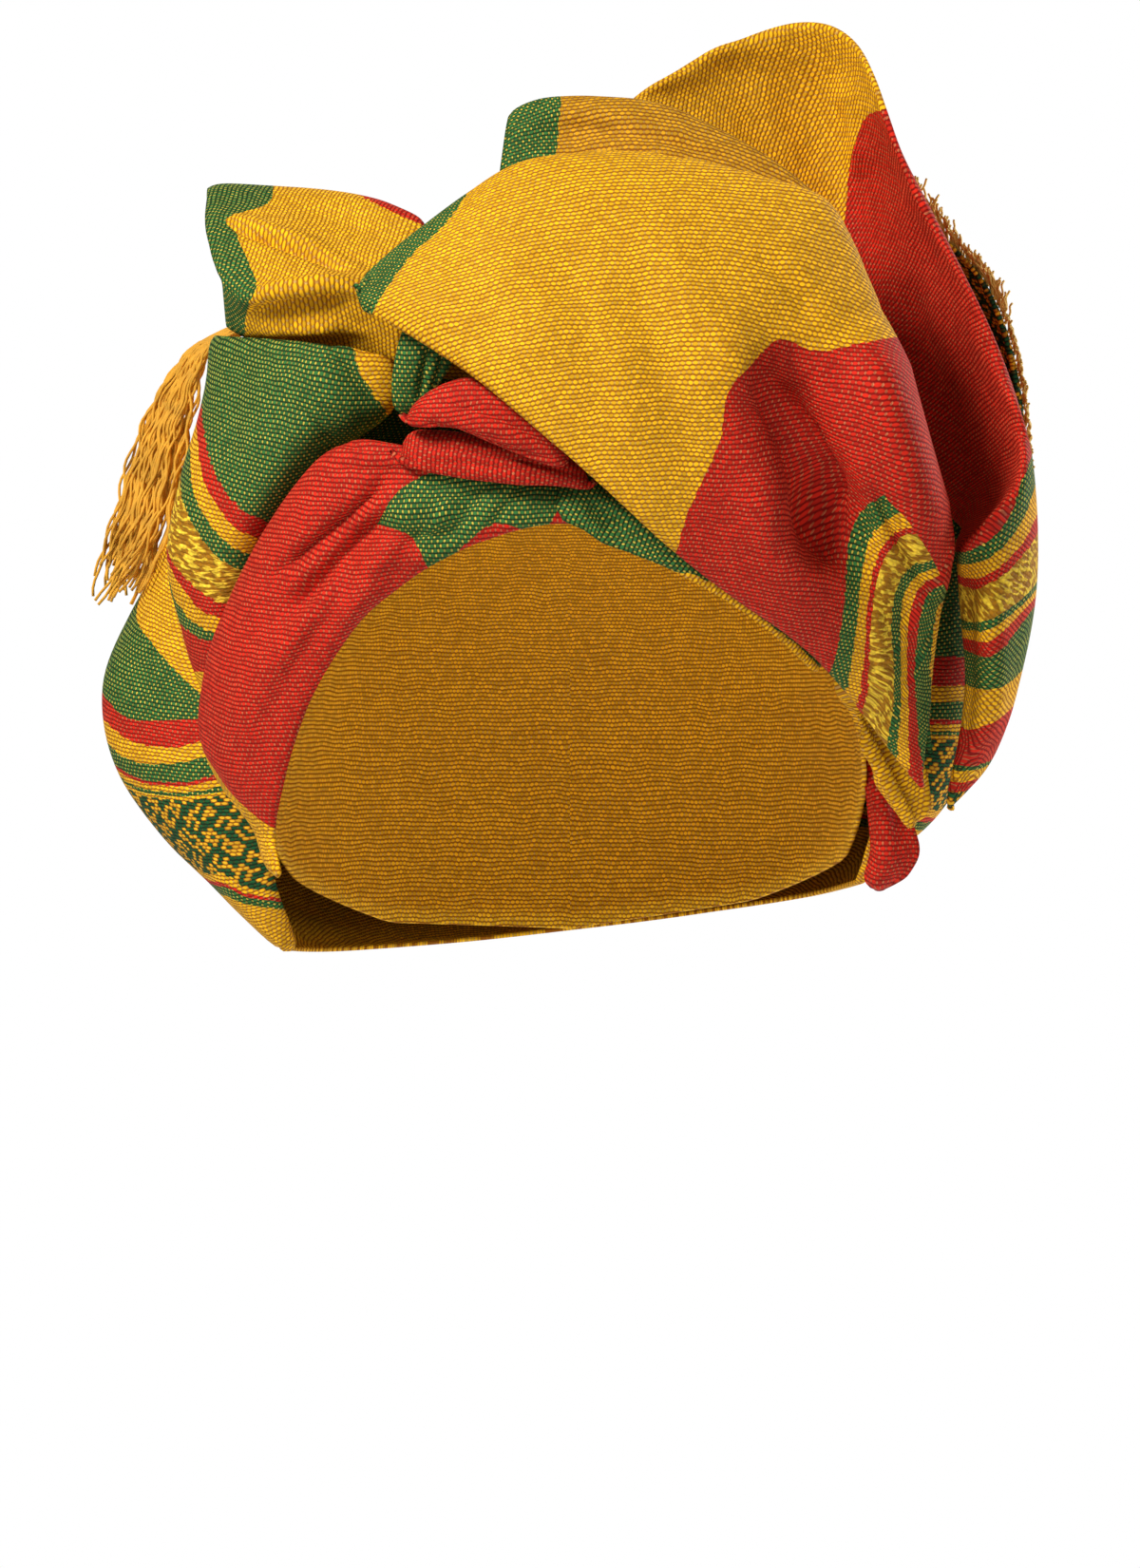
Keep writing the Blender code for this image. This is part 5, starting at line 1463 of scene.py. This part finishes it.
def fringe_right(tail):
    """Short yarns along the tail's edge: loose at its top, where they stand up, and close to it below."""
    dice = random.Random(8)
    inward = tail[:, 1] - tail[:, 0]
    edge = tail[:, 0] + YARN_ROOT * inward / np.linalg.norm(inward, axis=1, keepdims=True)
    loose_end = np.interp(-LOOSE_TO, -edge[:, 2], np.arange(len(edge)))
    places = np.concatenate((np.linspace(0.3, loose_end, RIGHT_LOOSE),
                             np.linspace(loose_end, len(edge) - 2.0, RIGHT_CLOSE)))
    paths = []
    for place_at in places:
        at = place_at + dice.uniform(-0.1, 0.1)
        close = place_at > loose_end
        start, before = curve_at(edge, np.array((at, max(at - 0.5, 0.0))))
        along = (before - start) / max(np.linalg.norm(before - start), 0.1)
        stand = max(0.0, 1 - 1.6 * place_at / loose_end)
        up = np.array((0.05 + dice.uniform(-0.3, 0.35), dice.uniform(-0.3, 0.2), 1.0))
        lie = along + np.array((dice.uniform(0.05, 0.12 if close else 0.45), -0.2, 0.1))
        way = stand * up + (1 - stand) * lie
        length = dice.uniform(0.7, 1.0) * (5.0 if close else 7.0 + 5.0 * stand)
        t = np.linspace(0, 1, 12)[:, None]
        crimp = np.sin(t * 9 + dice.uniform(0, 6)) * np.array((0.45, 0.3, 0.0)) * t
        bend = np.array((dice.uniform(-1.6, 1.6), dice.uniform(-1.0, 1.0), 0.0)) * (0.3 if close else 1.0)
        out = np.array((0.6, -0.5, 0.2))
        paths.append(start + out * (0.4 + np.minimum(3 * t, 1)) + way * length * t + bend * t * t + crimp)
    yarns_piece("fringe_right", paths, RIGHT_RADIUS, sides=4)


def area_light(name, energy, size, stand):
    """A square soft light of a given power and size, turned to the wrap."""
    data = bpy.data.lights.new(name, "AREA")
    data.energy = energy
    data.shape = "SQUARE"
    data.size = size
    made = bpy.data.objects.new(name, data)
    made.location = stand
    made.rotation_euler = (Vector(LIT_POINT) - Vector(stand)).to_track_quat("-Z", "Y").to_euler()
    bpy.context.scene.collection.objects.link(made)


def studio():
    """A pale floor well below the wrap, soft light, and the camera at the photograph's angle."""
    bpy.ops.mesh.primitive_circle_add(
        vertices=96, radius=FLOOR_RADIUS, fill_type="NGON", location=(0, 0, FLOOR_LEVEL)
    )
    floor = bpy.context.object
    floor.name = "floor"
    pale, nodes, shader = new_material("floor")
    nodes.set(shader, {"Base Color": (0.85, 0.85, 0.84, 1), "Roughness": 0.9})
    floor.data.materials.append(pale)

    world = bpy.data.worlds.new("studio")
    world.use_nodes = True
    nodes = Nodes(world.node_tree)
    toward = nodes.add("ShaderNodeTexCoord").outputs["Generated"]
    toward = nodes.add("ShaderNodeSeparateXYZ", {0: toward}).outputs[1]
    wall = nodes.smooth(toward, 0.80, 0.93)
    strength = nodes.sum("ADD", nodes.sum("MULTIPLY", wall, 0.82), 0.18)
    nodes.set(world.node_tree.nodes["Background"], {"Color": (1.0, 1.0, 1.0, 1), "Strength": strength})
    bpy.context.scene.world = world
    for light in LIGHTS:
        area_light(*light)

    data = bpy.data.cameras.new("camera")
    data.sensor_fit = "HORIZONTAL"
    data.sensor_width = SENSOR
    data.lens = SENSOR * CAMERA_AWAY / (PHOTO_WIDTH * PIXEL)
    camera = bpy.data.objects.new("camera", data)
    camera.location = (0.0, -CAMERA_AWAY, CAMERA_HEIGHT)
    camera.rotation_euler = (math.pi / 2, 0.0, 0.0)
    bpy.context.scene.collection.objects.link(camera)
    bpy.context.scene.camera = camera
    bpy.context.scene.view_settings.view_transform = "Standard"


back_wrap()
left_upper_loop()
left_lower_loop()
band_left()
band_right()
strand("knot_side", KNOT_SIDE, ["left_upper_loop", "left_lower_loop", "band_left"])
strand("knot_lower", KNOT_LOWER, ["band_left", "band_right", "knot_side"])
strand("knot_upper", KNOT_UPPER, ["knot_lower", "knot_side"])
right_tuck()
before_fan = ["left_upper_loop", "left_lower_loop", "band_right", "knot_side", "knot_lower",
              "knot_upper", "tuck_red", "tuck_yellow"]
loop("front_fan", FRONT_FAN, FRONT_FAN_FOLDS, (18, 17), before_fan)
loop("middle_fold", MIDDLE_FOLD, MIDDLE_FOLD_FOLDS, (10, 12), ["front_fan"])
rear_fan()
tail_right()

HELD = {"back_wrap": "gathered", "band_left": "stretched", "band_right": "stretched"}
cloth_piece("crown_wrap", *close_layer(), "stretched", [])
for piece, coarse in GRIDS.items():
    cloth_piece(piece, *finer(piece, coarse), HELD.get(piece, "folded"), ["crown_wrap_cloth"])
fringe_left()
fringe_right(GRIDS["tail_right"])
studio()
